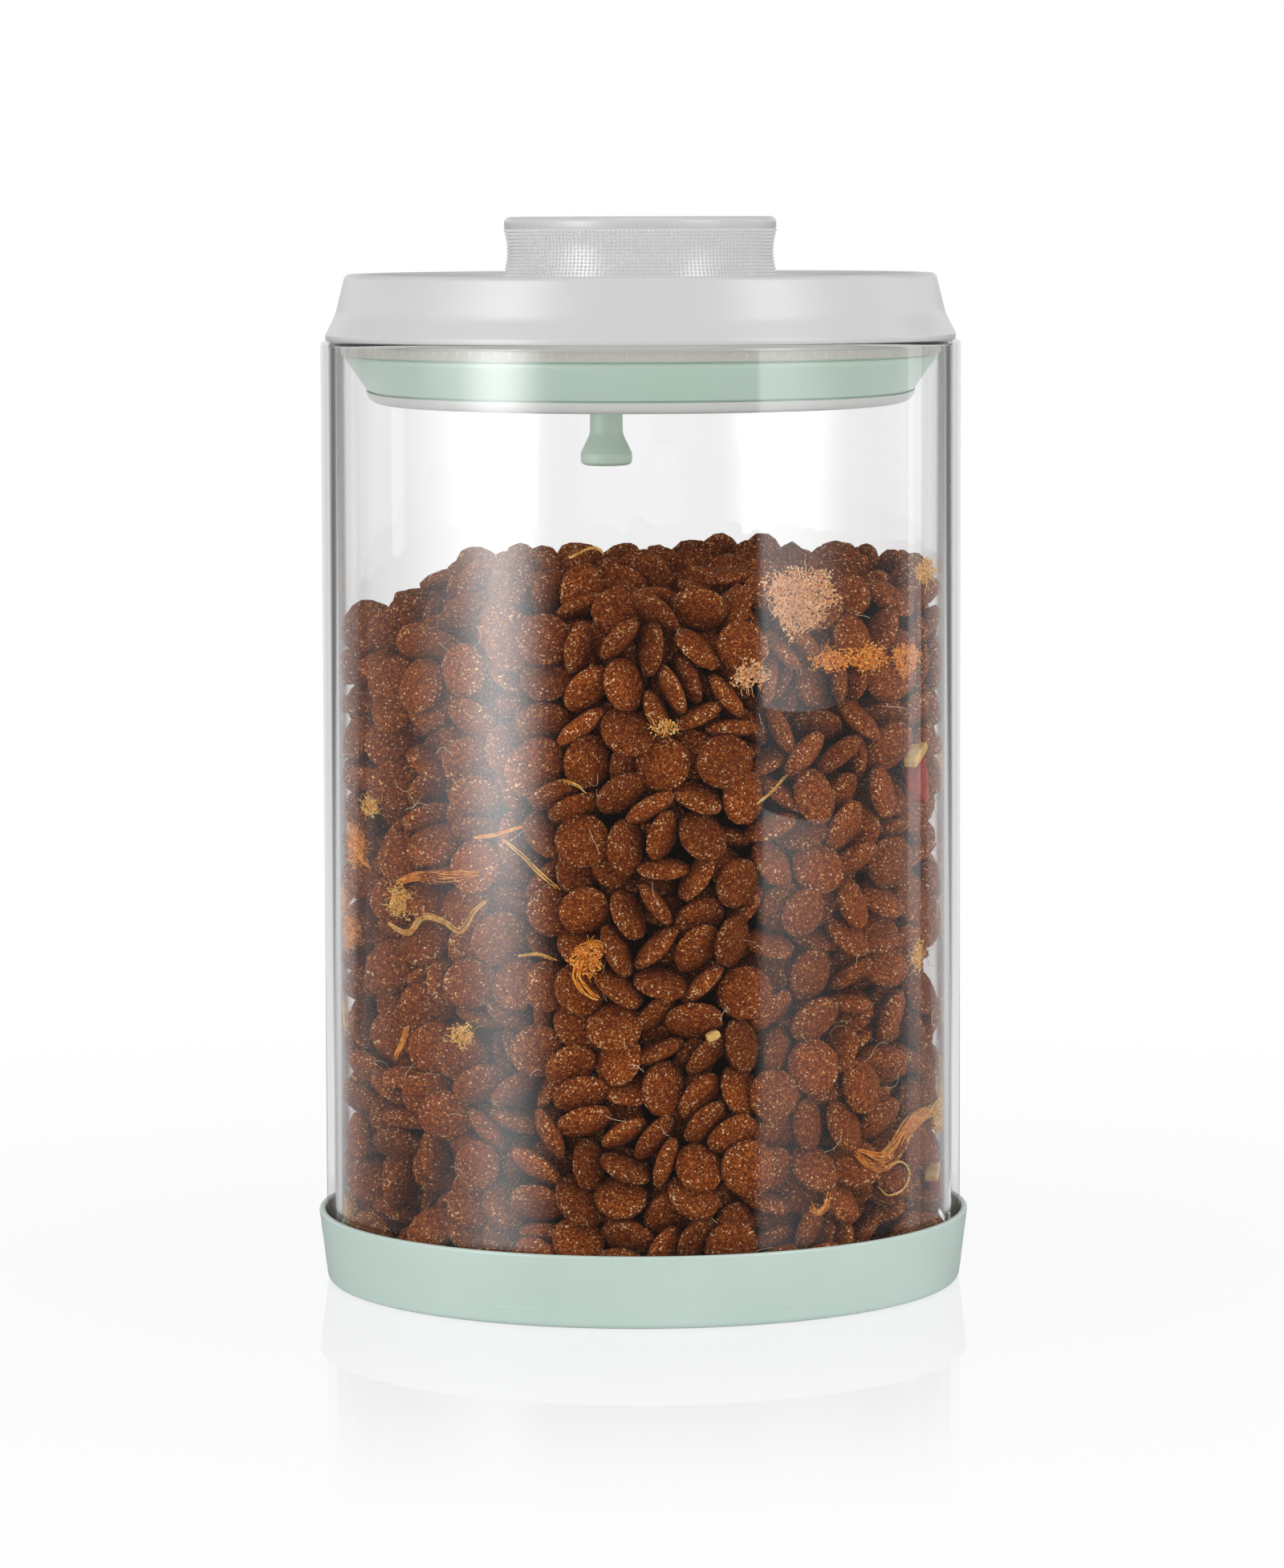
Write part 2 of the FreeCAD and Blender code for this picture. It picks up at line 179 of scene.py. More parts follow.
def bitCrust(name, codes, roughness, grain):
    # dried crumbs, shreds and peel: patchy colour from a few close tones, with a fine grain
    finish = {"Roughness": roughness, "Specular IOR Level": 0.08}
    noise = {"Detail": 2.0, "Roughness": 0.7}
    return grainedMaterial(name, codes, grain, grain / 3, grain / 20, finish, 0.17, noise)


glassLook = {
    "rimShadeStart": 174.0,        # height from which the light passing the glass is tinted darker, painted shade on the lid's neck under the skirt
    "rimShadeSoft": 3.0,
    "sideStart": 0.74,        # where its pale side starts, from 0, seen square on, to 1, edge on
    "sideFull": 0.79,
    "sideShare": 0.82,
    "outlineStart": 0.93,     # and where that gives way to the dark outline
    "outlineFull": 0.96,
}


def clearGlass(name):
    # drawn borosilicate tube: clear and hard edged, and light passes it to what the jar holds
    look = glassLook
    material, tree, coords = newMaterial(name)
    stretch = addNode(tree, "Mapping", {"Vector": coords, "Scale": (1.0, 1.0, 0.08)})
    solid = addNode(tree, "BsdfPrincipled", {
        "Base Color": srgb("#FEFEFE"), "Roughness": 0.0, "IOR": 1.47, "Transmission Weight": 1.0,
        "Normal": grainBump(tree, stretch, 14.0, 0.002)})
    # painted shade: near its rim the glass passes less light to what lies inside, so the neck under the
    # skirt falls darker
    height = addNode(tree, "SeparateXYZ", coords).outputs["Z"]
    rim = addNode(tree, "MapRange", height, mm(look["rimShadeStart"]), mm(look["rimShadeStart"] + look["rimShadeSoft"]))
    tint = addNode(tree, "Mix", {0: rim, 6: srgb("#FAFBFB"), 7: srgb("#D8D6D0")}, data_type="RGBA")
    clear = addNode(tree, "BsdfTransparent", tint.outputs[2])
    path = addNode(tree, "LightPath").outputs
    softLight = addNode(tree, "Math", path["Is Shadow Ray"], path["Is Diffuse Ray"], operation="MAXIMUM")
    # the side of the tube seen edge on stays pale between its two dark outlines
    facing = addNode(tree, "LayerWeight").outputs["Facing"]
    side = addNode(tree, "MapRange", facing, look["sideStart"], look["sideFull"], 0.0, look["sideShare"])
    within = addNode(tree, "MapRange", facing, look["outlineFull"], look["outlineStart"])
    wall = addNode(tree, "Math", side, within, operation="MULTIPLY")
    plain = addNode(tree, "BsdfTransparent", srgb("#FAFBFB"))
    seen = addNode(tree, "MixShader", wall, solid, plain)
    addNode(tree, "OutputMaterial", addNode(tree, "MixShader", softLight, seen, clear))
    return material


def bakedKibble(name):
    # extruded and oven dried meal: toasted grains, drawn coarse enough to show, and small dark pores
    material, tree, coords = newMaterial(name)
    bake = addNode(tree, "Attribute", attribute_name="bake").outputs["Fac"]
    rim = addNode(tree, "Attribute", attribute_name="rim").outputs["Fac"]
    grains = addNode(tree, "TexVoronoi", {"Vector": coords, "Scale": 1 / mm(0.27)}).outputs
    tone = addNode(tree, "SeparateXYZ", grains["Color"])
    # the rim is drawn a little paler
    rubbed = addNode(tree, "Math", rim, 0.05, tone, operation="MULTIPLY_ADD")
    ramp = addNode(tree, "ValToRGB", rubbed)
    setStops(ramp, [(0.0, "#4E1F06"), (0.3, "#6A2C0B"), (0.64, "#863F14"),
                    (0.9, "#A55920"), (0.975, "#C07C40"), (1.0, "#E9C594")])
    pores = addNode(tree, "TexNoise", {
        "Vector": coords, "Scale": 1 / mm(0.7), "Detail": 3.0, "Roughness": 0.6})
    depth = addNode(tree, "MapRange", pores, 0.3, 0.5, 0.72, 1.0)
    value = addNode(tree, "Math", depth, bake, operation="MULTIPLY")
    shade = addNode(tree, "HueSaturation", {"Color": ramp, "Value": value})
    rough = addNode(tree, "Math", pores, grains["Distance"], operation="ADD")
    bump = addNode(tree, "Bump", {"Strength": 0.5, "Distance": mm(0.1), "Height": rough})
    shader = addNode(tree, "BsdfPrincipled", {
        "Base Color": shade, "Roughness": 0.8, "Specular IOR Level": 0.06, "Normal": bump})
    addNode(tree, "OutputMaterial", shader)
    return material


# Turned shapes

def roundedCorner(before, corner, after, radius, steps):
    back = (before - corner) / np.linalg.norm(before - corner)
    ahead = (after - corner) / np.linalg.norm(after - corner)
    half = math.acos(np.clip(back @ ahead, -1, 1)) / 2
    middle = (back + ahead) / np.linalg.norm(back + ahead)
    centre = corner + middle * radius / math.sin(half)
    start = corner + back * radius / math.tan(half) - centre
    sweep = math.pi - 2 * half
    if back[0] * ahead[1] - back[1] * ahead[0] > 0:
        sweep = -sweep
    points = []
    for step in range(steps + 1):
        turn = sweep * step / steps
        c, s = math.cos(turn), math.sin(turn)
        points.append(centre + np.array([start[0] * c - start[1] * s, start[0] * s + start[1] * c]))
    return points


def profilePoints(corners, steps):
    # each corner is (radius, height) with an optional rounding
    points = []
    for index, corner in enumerate(corners):
        here = np.array(corner[:2], float)
        if len(corner) == 2:
            points.append(here)
            continue
        before = np.array(corners[index - 1][:2], float)
        after = np.array(corners[(index + 1) % len(corners)][:2], float)
        points += roundedCorner(before, here, after, corner[2], steps)
    return points


def ringFaces(rings, closed=False):
    # rings are lists of point numbers, and a pole is a ring of one
    faces = []
    for low, high in zip(rings, rings[1:] + (rings[:1] if closed else [])):
        count = max(len(low), len(high))
        for i in range(count):
            j = (i + 1) % count
            corners = (low[i % len(low)], low[j % len(low)], high[j % len(high)], high[i % len(high)])
            faces.append(tuple(dict.fromkeys(corners)))
    return faces


def newObject(name, data):
    item = bpy.data.objects.new(name, data)
    bpy.context.scene.collection.objects.link(item)
    return item


def meshObject(name, vertices, faces, material, creaseAngle=32):
    mesh = bpy.data.meshes.new(name)
    mesh.from_pydata([tuple(v) for v in vertices], [], faces)
    mesh.validate()
    mesh.shade_smooth()
    mesh.set_sharp_from_angle(angle=math.radians(creaseAngle))
    mesh.materials.append(material)
    return newObject(name, mesh)


def turned(name, material, corners, closed=False, steps=7, segments=256, centre=0.0, creaseAngle=32):
    # the solid is on the left of its corners: out along the underside, up the outside, in along the top
    angles = np.linspace(0, 2 * math.pi, segments, endpoint=False)
    vertices, rings = [], []
    for radius, height in profilePoints(corners, steps):
        around = angles if radius > 1e-6 else angles[:1]
        rings.append(list(range(len(vertices), len(vertices) + len(around))))
        for angle in around:
            spot = (centre + radius * math.cos(angle), radius * math.sin(angle), height)
            vertices.append([mm(part) for part in spot])
    return meshObject(name, vertices, ringFaces(rings, closed), material, creaseAngle)


def place(piece, body, slot, *nodes):
    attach(piece, body)
    if nodes:
        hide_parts(*nodes)


# Camera, from the photograph's framing of 1600 by 1954 pixels

photoView = {
    "distance": 1.1788,       # metres from the jar's axis
    "height": 0.203,          # metres above the floor
    "pitch": 5.304,
    "roll": -0.19,
    "lens": 143.92,
}


def makeCamera():
    data = bpy.data.cameras.new("photo_camera")
    data.lens = photoView["lens"]
    data.sensor_width = 36.0
    data.clip_start = 0.01
    camera = newObject("photo_camera", data)
    tilt = Matrix.Rotation(math.radians(90 - photoView["pitch"]), 4, "X")
    spin = Matrix.Rotation(math.radians(photoView["roll"]), 4, "Z")
    stand = Matrix.Translation((0, -photoView["distance"], photoView["height"]))
    camera.matrix_world = stand @ tilt @ spin
    bpy.context.scene.camera = camera


makeCamera()
bpy.context.scene.view_settings.view_transform = "Standard"
print("camera ready")

# Studio

studio = {
    "ambient": 0.70,          # light from all round, as a share of white
    "mirrorLow": 0.08,        # what gloss sees of the room, level with the jar and above it
    "mirrorHigh": 0.95,
    "mirrorRise": (0.0, 0.12),    # height, with 1 straight up, over which one turns into the other
    "overhead": 0.35,         # share of mirrorHigh that is left straight above
    "overheadRise": (0.2, 0.3),
    "sheet": 0.95,            # what gloss sees of the white sheet behind the jar
    "sheetEdge": (0.95, 0.99),
    "bandShade": 0.88,        # what glass shows of the backdrop beside its white middle
    "bandEdge": (0.05, 0.3),  # sines of the angles from a main view where it starts and is full
    "cardShade": 0.34,        # and of the dark cards that draw the edge of its bore
    "cardSine": 0.5,
    "cardEdge": (0.03, 0.08),
    "insideGlass": (-0.95, 0.9),  # from rays mirrored to the front inside the glass to rays going on
    "floorSize": 12.0,        # metres
    "floorAbove": (0.74, 0.85),   # how glancing the view is while plain white floor in the glass fades
    "floorClose": (0.12, 0.4),    # and how many metres off the jar's axis it has to be as well
    "floorSteep": (0.45, 0.75, 0.9),  # the same fade in gloss, and the white that it starts from
    "floorGloss": 0.16,       # share of the mirror image close to the tray
    "glossStart": 60.0,       # from the jar's axis, where that share starts to fade and where it is gone
    "glossEnd": 235.0,
    "floorLit": 0.14,         # share of the floor's look that comes from the lamps, for a soft shadow
    "litEnd": 420.0,          # how far from the jar that share has died away
    "floorMirror": 0.3,       # what gloss sees of the lamps in the floor
    "mirrorReach": (0.3, 1.1),    # metres over which that grows to a full mirror image
}

softboxes = [
    # name, azimuth from the camera, height m, distance m, width m, tall m, watts,
    # how much of its width is feathered on the left and on the right, seen by
    ("left_light", -62, 0.22, 1.1, 1.10, 0.7, 5.6, 0.5, 0.5, "diffuse"),
    ("right_light", 68, 0.20, 1.1, 0.90, 0.7, 4.5, 0.3, 0.5, "diffuse"),
    ("front_light", 4, 0.12, 1.6, 1.40, 0.8, 4.2, 0.2, 0.2, "diffuse"),
    ("top_softbox", 0, 1.5, 0.25, 1.0, 1.0, 3.4, 0.2, 0.2, "all"),
    ("left_core", -51, 0.45, 1.1, 0.84, 0.95, 12.0, 0.5, 0.5, "gloss"),
    ("left_band", -60, 0.45, 1.1, 1.60, 0.95, 12.0, 0.5, 0.5, "gloss"),
    ("right_core", 52, 0.72, 1.1, 0.70, 0.6, 6.0, 0.5, 0.5, "gloss"),
    ("right_band", 62, 0.50, 1.1, 0.94, 1.0, 6.2, 0.06, 0.85, "gloss"),
    ("right_strip", 113, 0.50, 1.1, 0.22, 1.1, 1.0, 0.2, 0.1, "gloss"),
]

white = srgb("#FFFFFF")


def backdropShade(tree, vector):
    # white in the middle of each main view, a little darker beside it, and narrow dark cards further off
    add = partial(addNode, tree)
    parts = add("SeparateXYZ", vector).outputs
    across = add("Math", parts["X"], operation="ABSOLUTE")
    deep = add("Math", parts["Y"], operation="ABSOLUTE")
    least = add("Math", across, deep, operation="MINIMUM")
    level = add("VectorMath", vector, (1.0, 1.0, 0.0), operation="MULTIPLY")
    reach = add("VectorMath", level, operation="LENGTH").outputs["Value"]
    sine = add("Math", least, reach, operation="DIVIDE")
    fade = add("MapRange", sine, *studio["bandEdge"], 1.0, studio["bandShade"])
    away = add("Math", sine, studio["cardSine"], operation="SUBTRACT")
    offCard = add("Math", away, operation="ABSOLUTE")
    card = add("MapRange", offCard, *studio["cardEdge"], studio["cardShade"], 1.0, **smooth)
    return add("Math", fade, card, operation="MULTIPLY")


def towardsBack(tree, vector):
    level = addNode(tree, "VectorMath", vector, operation="NORMALIZE")
    return addNode(tree, "SeparateXYZ", level).outputs["Y"]


def clearView(tree, path, vector):
    # 1 for a ray that leaves the glass. One that was mirrored to the front inside it sees what gloss sees.
    onward = addNode(tree, "MapRange", towardsBack(tree, vector), *studio["insideGlass"])
    straight = addNode(tree, "Math", path["Glossy Depth"], 0.5, operation="LESS_THAN")
    share = addNode(tree, "Math", straight, onward, operation="MAXIMUM")
    return addNode(tree, "Math", share, path["Is Transmission Ray"], operation="MULTIPLY")


def whiteBehind(tree, vector):
    # the white sheet behind the jar, which gloss shows at a glancing angle, and the dim room elsewhere
    depth, edge = towardsBack(tree, vector), studio["sheetEdge"]
    return addNode(tree, "MapRange", depth, *edge, studio["mirrorLow"], studio["sheet"], **smooth)


def makeWorld():
    world = bpy.data.worlds.new("studio_world")
    bpy.context.scene.world = world
    world.use_nodes = True
    world.node_tree.nodes.clear()
    tree = world.node_tree
    add = partial(addNode, tree)
    path = add("LightPath").outputs
    direction = add("TexCoord").outputs["Generated"]
    rise = add("SeparateXYZ", direction).outputs["Z"]
    glow = add("MapRange", rise, *studio["mirrorRise"], studio["mirrorLow"], studio["mirrorHigh"], **smooth)
    overhead = add("MapRange", rise, *studio["overheadRise"], 1.0, studio["overhead"], **smooth)
    dome = add("Math", glow, overhead, operation="MULTIPLY")
    once = add("Math", path["Glossy Depth"], 1.5, operation="LESS_THAN")
    above = add("Math", dome, once, operation="MULTIPLY")
    strength = add("Math", above, whiteBehind(tree, direction), operation="MAXIMUM")
    ambient = add("Background", white, studio["ambient"])
    mirrored = add("Background", white, strength)
    through = add("Background", white, backdropShade(tree, direction))
    backdrop = add("Background", white, 1.0)
    # a refracted ray counts as glossy too, so the refracted ones are told apart last
    seen = add("MixShader", path["Is Glossy Ray"], ambient, mirrored)
    indirect = add("MixShader", clearView(tree, path, direction), seen, through)
    add("OutputWorld", add("MixShader", path["Is Camera Ray"], indirect, backdrop))


def featherLamp(data, left, right):
    # the lamp's own light falls off towards its sides, as it does through a softbox's cloth
    data.use_nodes = True
    data.node_tree.nodes.clear()
    add = partial(addNode, data.node_tree)
    across = add("SeparateXYZ", add("NewGeometry").outputs["Parametric"])
    rise = add("MapRange", across, 0.0, left, **smooth)
    fall = add("MapRange", across, 1.0, 1.0 - right, **smooth)
    strength = add("Math", rise, fall, operation="MULTIPLY")
    add("OutputLight", add("Emission", {"Strength": strength}))


def makeLamps():
    aim = Vector((0, 0, 0.1))
    for name, azimuth, height, distance, width, tall, watts, left, right, seenBy in softboxes:
        data = bpy.data.lights.new(name, "AREA")
        data.shape = "RECTANGLE"
        data.size = width
        data.size_y = tall
        data.energy = watts
        featherLamp(data, left, right)
        lamp = newObject(name, data)
        lamp.visible_glossy = seenBy != "diffuse"
        lamp.visible_diffuse = seenBy != "gloss"
        turn = math.radians(azimuth)
        lamp.location = (distance * math.sin(turn), -distance * math.cos(turn), height)
        lamp.rotation_euler = (aim - lamp.location).to_track_quat("-Z", "Y").to_euler()


def glossyFloor():
    # white acrylic sheet: white of its own, with a faint mirror image that dies away from the jar
    material, tree, coords = newMaterial("white_acrylic_floor")
    add = partial(addNode, tree)
    path = add("LightPath").outputs
    camera = path["Is Camera Ray"]
    reach = add("VectorMath", coords, operation="LENGTH").outputs["Value"]
    start = mm(studio["glossStart"])
    gloss = add("MapRange", reach, start, mm(studio["glossEnd"]), studio["floorGloss"], 0.0, **smooth)
    shade = add("MapRange", reach, start, mm(studio["litEnd"]), 1 - studio["floorLit"], 1.0, **smooth)
    # glass shows the floor white close to the jar and from above, and elsewhere as it shows the backdrop
    facing = add("LayerWeight").outputs["Facing"]
    fromAbove = add("MapRange", facing, *studio["floorAbove"], 1.0, 0.0, **smooth)
    close = add("MapRange", reach, *studio["floorClose"], 1.0, 0.0, **smooth)
    plain = add("Math", fromAbove, close, operation="MAXIMUM")
    through = add("Math", backdropShade(tree, coords), plain, operation="MAXIMUM")
    own = add("Emission", white, add("Math", through, camera, operation="MAXIMUM"))
    lit = add("BsdfDiffuse", srgb("#F4F4F4"))
    clear = clearView(tree, path, coords)
    straight = add("Math", camera, clear, operation="MAXIMUM")
    sheet = add("MixShader", add("Math", straight, shade, operation="MULTIPLY"), lit, own)
    # gloss sees the floor as it sees the room above it, and white from above
    steep = add("MapRange", facing, *studio["floorSteep"], 0.0)
    room = add("Math", whiteBehind(tree, coords), steep, operation="MAXIMUM")
    glossOnly = add("Math", path["Is Glossy Ray"], clear, operation="SUBTRACT", use_clamp=True)
    base = add("MixShader", glossOnly, sheet, add("Emission", white, room))
    mirror = add("BsdfGlossy", {"Color": white, "Roughness": 0.02})
    fromCamera = add("Math", camera, gloss, operation="MULTIPLY")
    spread = add("MapRange", reach, *studio["mirrorReach"], studio["floorMirror"], 1.0, **smooth)
    fromGloss = add("Math", glossOnly, spread, operation="MULTIPLY")
    mirrorSeen = add("Math", fromCamera, fromGloss, operation="MAXIMUM")
    add("OutputMaterial", add("MixShader", mirrorSeen, base, mirror))
    return material


def makeFloor():
    half = studio["floorSize"] / 2
    corners = [(-half, -half, 0), (half, -half, 0), (half, half, 0), (-half, half, 0)]
    floor = meshObject("studio_floor", corners, [(0, 1, 2, 3)], glossyFloor())


makeWorld()
makeLamps()
makeFloor()
print("studio ready")

# Finishes

greyPlastic = mouldedPlastic("moulded_abs_grey", "#CCCCCC", "#D1D1D1", 0.3)
# painted light: the grip wall and its studs take the lid's grey painted lighter, to make up for the shade
# the studs cast on each other
gripPlasticLightened = mouldedPlastic("moulded_abs_grip_grey_lightened", "#E2E2E2", "#E6E6E6", 0.2, 1.62)
platePlastic = mouldedPlastic("moulded_abs_light_grey", "#CFCFCD", "#D5D5D3", 0.34)
creamPlastic = mouldedPlastic("moulded_polypropylene_cream", "#DAD8D1", "#E2E0DA", 0.42)
acetal = mouldedPlastic("moulded_acetal_white", "#E4E3DE", "#ECEBE7", 0.3)
trayRubber = siliconeRubber("moulded_silicone_mint", "#C1D5CC", "#C8DBD3")
sealRubber = siliconeRubber("moulded_silicone_sage", "#BAD2C3", "#C2D8CB")
# painted light: the plug is the seal's silicone painted lighter, to make up for the shade it hangs in under
# the plate
plugRubberLightened = siliconeRubber("silicone_plug_mint_lightened", "#D4EFDD", "#DCF4E4")
jarGlass = clearGlass("borosilicate_glass")
steel = brightSteel("stainless_steel_drawn")

# Silicone tray

tray = {
    "wall": 1.25,
    "floor": 2.5,
    "footInset": 1.7,
    "footRound": 1.4,
    "rimRound": 0.45,
    "innerRound": 0.8,
}


def makeTray():
    low, high = heights("base_tray")
    rim = outerRadius("base_tray")
    bore = rim - tray["wall"]
    piece = turned("silicone_tray", trayRubber, [
        (0, low),
        (rim - tray["footInset"], low, tray["footRound"]),
        (rim, high, tray["rimRound"]),
        (bore, high, tray["rimRound"]),
        (bore, low + tray["floor"], tray["innerRound"]),
        (0, low + tray["floor"]),
    ])
    place(piece, "base", "tray_silicone", "base_tray")


# Glass cylinder

glass = {
    "wall": 2.6,
    "floor": 4.0,
    "heelRound": 8.0,
    "rimRound": 1.1,
}


def boreRadius():
    return outerRadius("glass_jar") - glass["wall"]


def makeGlass():
    low, high = heights("glass_jar")
    outside = outerRadius("glass_jar")
    piece = turned("glass_cylinder", jarGlass, [
        (0, low),
        (outside, low, glass["heelRound"]),
        (outside, high, glass["rimRound"]),
        (boreRadius(), high, glass["rimRound"]),
        (boreRadius(), low + glass["floor"], glass["heelRound"] - glass["wall"]),
        (0, low + glass["floor"]),
    ], steps=10, segments=288)
    place(piece, "jar", "jar_glass", "glass_jar")


# Lid cover with its flared skirt and sunk well

cover = {
    "skirtGap": 0.8,
    "skirtBand": 1.3,
    "skirtRound": 0.7,
    "bandRound": 0.9,
    "flareHeight": 5.2,
    "flareInset": 1.95,
    "flareRound": 9.0,
    "rimInset": 3.75,
    "rimWidth": 2.5,
    "rimRound": 1.15,
    "wellDepth": 3.7,
    "wellRound": 0.8,
    "wellFloor": 1.8,
    "holeRadius": 26.9,
    "holeRound": 0.4,
    "wall": 2.0,
    "wallRound": 1.0,
    "ribInset": 2.3,
    "ribWidth": 1.3,
    "ribRound": 0.3,
}


def makeCover():
    rimZ, top = heights("lid_cover")
    skirt = outerRadius("lid_cover")
    flare = skirt - cover["flareInset"]
    rim = skirt - cover["rimInset"]
    well = rim - cover["rimWidth"]
    rib = outerRadius("glass_jar") - cover["ribInset"]
    skirtZ = rimZ + cover["skirtGap"]
    flareZ = skirtZ + cover["flareHeight"]
    wellZ = top - cover["wellDepth"]
    underZ = wellZ - cover["wellFloor"]
    piece = turned("lid_cover_shell", greyPlastic, [
        (rib - cover["ribWidth"], rimZ),
        (rib, rimZ, cover["ribRound"]),
        (rib, skirtZ),
        (skirt, skirtZ, cover["skirtRound"]),
        (skirt, skirtZ + cover["skirtBand"], cover["bandRound"]),
        (flare, flareZ, cover["flareRound"]),
        (rim, top, cover["rimRound"]),
        (well, top, cover["rimRound"]),
        (well, wellZ, cover["wellRound"]),
        (cover["holeRadius"], wellZ, cover["holeRound"]),
        (cover["holeRadius"], underZ),
        (flare - cover["wall"], underZ, cover["wallRound"]),
        (flare - cover["wall"], flareZ),
    ], closed=True)
    place(piece, "lid", "lid_plastic", "lid_cover")


# Push button with its studded grip

button = {
    "radius": 25.5,
    "skirtRadius": 26.3,
    "waistRadius": 24.7,
    "waistCurve": 0.040,      # mm of radius gained per square mm of height from the waist
    "waistBelowTop": 6.5,
    "band": 2.2,
    "bandStep": 0.45,
    "topRound": 1.1,
    "skirtBelowTop": 13.3,
    "bore": 22.9,
    "presserWidth": 1.65,
    "presserChamfer": 0.8,
    "topWall": 2.0,
    "hubRadius": 4.92,
    "studPitch": 0.79,
    "studRadius": 0.27,
    "studProud": 0.3,
    "studRows": 17,
}


def waistAt(height, waistZ):
    return button["waistRadius"] + button["waistCurve"] * (height - waistZ) ** 2


def makeButton():
    low, top = heights("button_cap")
    hubLow = heights("push_sleeve")[1]
    waistZ = top - button["waistBelowTop"]
    skirtZ = top - button["skirtBelowTop"]
    bandZ = top - button["band"]
    under = top - button["topWall"]
    piece = turned("button_body", greyPlastic, [
        (0, hubLow),
        (button["hubRadius"], hubLow),
        (button["hubRadius"], under),
        (button["bore"], under),
        (button["bore"], low),
        (button["bore"] + button["presserWidth"], low),
        (button["skirtRadius"], low + button["presserChamfer"]),
        (button["skirtRadius"], skirtZ),
        *[(waistAt(z, waistZ), z) for z in np.linspace(skirtZ, bandZ, 15)],
        (button["radius"], bandZ + button["bandStep"]),
        (button["radius"], top, button["topRound"]),
        (0, top),
    ], creaseAngle=40)
    # the waisted grip wall takes the lightened grey, painted light against the studs' shade
    piece.data.materials.append(gripPlasticLightened)
    inside = mm(button["bore"] + 0.5)
    for face in piece.data.polygons:
        onWall = math.hypot(face.center.x, face.center.y) > inside
        if onWall and mm(skirtZ) < face.center.z < mm(bandZ):
            face.material_index = 1
    place(piece, "button", "lid_plastic", "button_cap")


def geometryTree(name, sockets):
    # sockets are the tree's inputs beside the geometry, with their kinds
    tree = bpy.data.node_groups.new(name, "GeometryNodeTree")
    for label, kind in {"Geometry": "Geometry", **sockets, "Material": "Material"}.items():
        tree.interface.new_socket(label, in_out="INPUT", socket_type="NodeSocket" + kind)
    tree.interface.new_socket("Geometry", in_out="OUTPUT", socket_type="NodeSocketGeometry")
    return tree, addNode(tree, "NodeGroupInput").outputs


def finishTree(tree, geometry, material):
    coated = addNode(tree, "GeometryNodeSetMaterial", {"Geometry": geometry, "Material": material})
    addNode(tree, "NodeGroupOutput", coated)


def grown(name, start, tree, inputs):
    # runs a node tree once and keeps what it makes as a plain mesh at the origin
    holder = newObject(name + "_holder", start or bpy.data.meshes.new(name + "_start"))
    modifier = holder.modifiers.new("grow", "NODES")
    modifier.node_group = tree
    for item in tree.interface.items_tree:
        if item.in_out == "INPUT" and item.name in inputs:
            modifier[item.identifier] = inputs[item.name]
    bpy.context.view_layer.update()
    mesh = bpy.data.meshes.new_from_object(holder.evaluated_get(bpy.context.evaluated_depsgraph_get()))
    mesh.name = name
    bpy.data.objects.remove(holder)
    return newObject(name, mesh)


def studTree():
    # one point for each stud, on the grip's waisted wall, then a small ball on each point
    tree, given = geometryTree("grip_studs", {
        "Columns": "Int", "Rows": "Int", "Lowest Row": "Float", "Pitch": "Float", "Stud Radius": "Float"})
    add = partial(addNode, tree)
    laps = add("Math", add("GeometryNodeInputIndex"), given["Columns"], operation="DIVIDE")
    turn = add("Math", laps, 2 * math.pi, operation="MULTIPLY")
    row = add("Math", laps, operation="FLOOR")
    height = add("Math", row, given["Pitch"], given["Lowest Row"], operation="MULTIPLY_ADD")
    waistZ = mm(heights("button_cap")[1] - button["waistBelowTop"])
    away = add("Math", height, waistZ, operation="SUBTRACT")
    square = add("Math", away, away, operation="MULTIPLY")
    # waistCurve is per mm, so it is a thousand times larger per metre
    curve = button["waistCurve"] * 1000
    waist = mm(button["waistRadius"] + button["studProud"] - button["studRadius"])
    radius = add("Math", square, curve, waist, operation="MULTIPLY_ADD")
    spot = add("CombineXYZ", {"X": radius, "Z": height})
    position = add("VectorRotate", {"Vector": spot, "Angle": turn}, rotation_type="Z_AXIS")
    count = add("Math", given["Columns"], given["Rows"], operation="MULTIPLY")
    points = add("GeometryNodePoints", {"Count": count, "Position": position})
    ball = add("GeometryNodeMeshUVSphere", {"Segments": 8, "Rings": 4, "Radius": given["Stud Radius"]})
    studs = add("GeometryNodeInstanceOnPoints", {"Points": points, "Instance": ball})
    real = add("GeometryNodeRealizeInstances", studs)
    finishTree(tree, add("GeometryNodeSetShadeSmooth", real), given["Material"])
    return tree


def makeStuds():
    top = heights("button_cap")[1]
    lowest = top - button["skirtBelowTop"] + button["studPitch"] / 2
    highest = top - button["band"] - button["studPitch"] / 2
    piece = grown("button_studs", None, studTree(), {
        "Columns": round(2 * math.pi * button["waistRadius"] / button["studPitch"]),
        "Rows": button["studRows"],
        "Lowest Row": mm(lowest),
        "Pitch": mm((highest - lowest) / (button["studRows"] - 1)),
        "Stud Radius": mm(button["studRadius"]),
        "Material": gripPlasticLightened})
    place(piece, "button", "lid_plastic")


# Seal, plate and pull plug

seal = {
    "lip": 1.3,
    "wall": 3.6,
    "gap": 0.5,
    "lipRound": 0.35,
    "coneRound": 0.5,
    "footRound": 0.15,
    "footProud": 0.1,
    "groove": 0.4,            # height of the shadow gaps at the top lip and at the foot
    "grooveDeep": 0.7,
}
plate = {
    "edgeWidth": 2.0,
    "edgeRound": 2.0,
    "floor": 1.4,
}
plug = {
    "shaft": 3.1,
    "footFlat": 3.4,
    "footHeight": 2.2,
    "footRound": 0.9,
    "ankleRound": 1.0,
    "flare": 3.6,
    "flareRound": 3.0,
    "head": 3.4,
    "neck": 2.3,
}


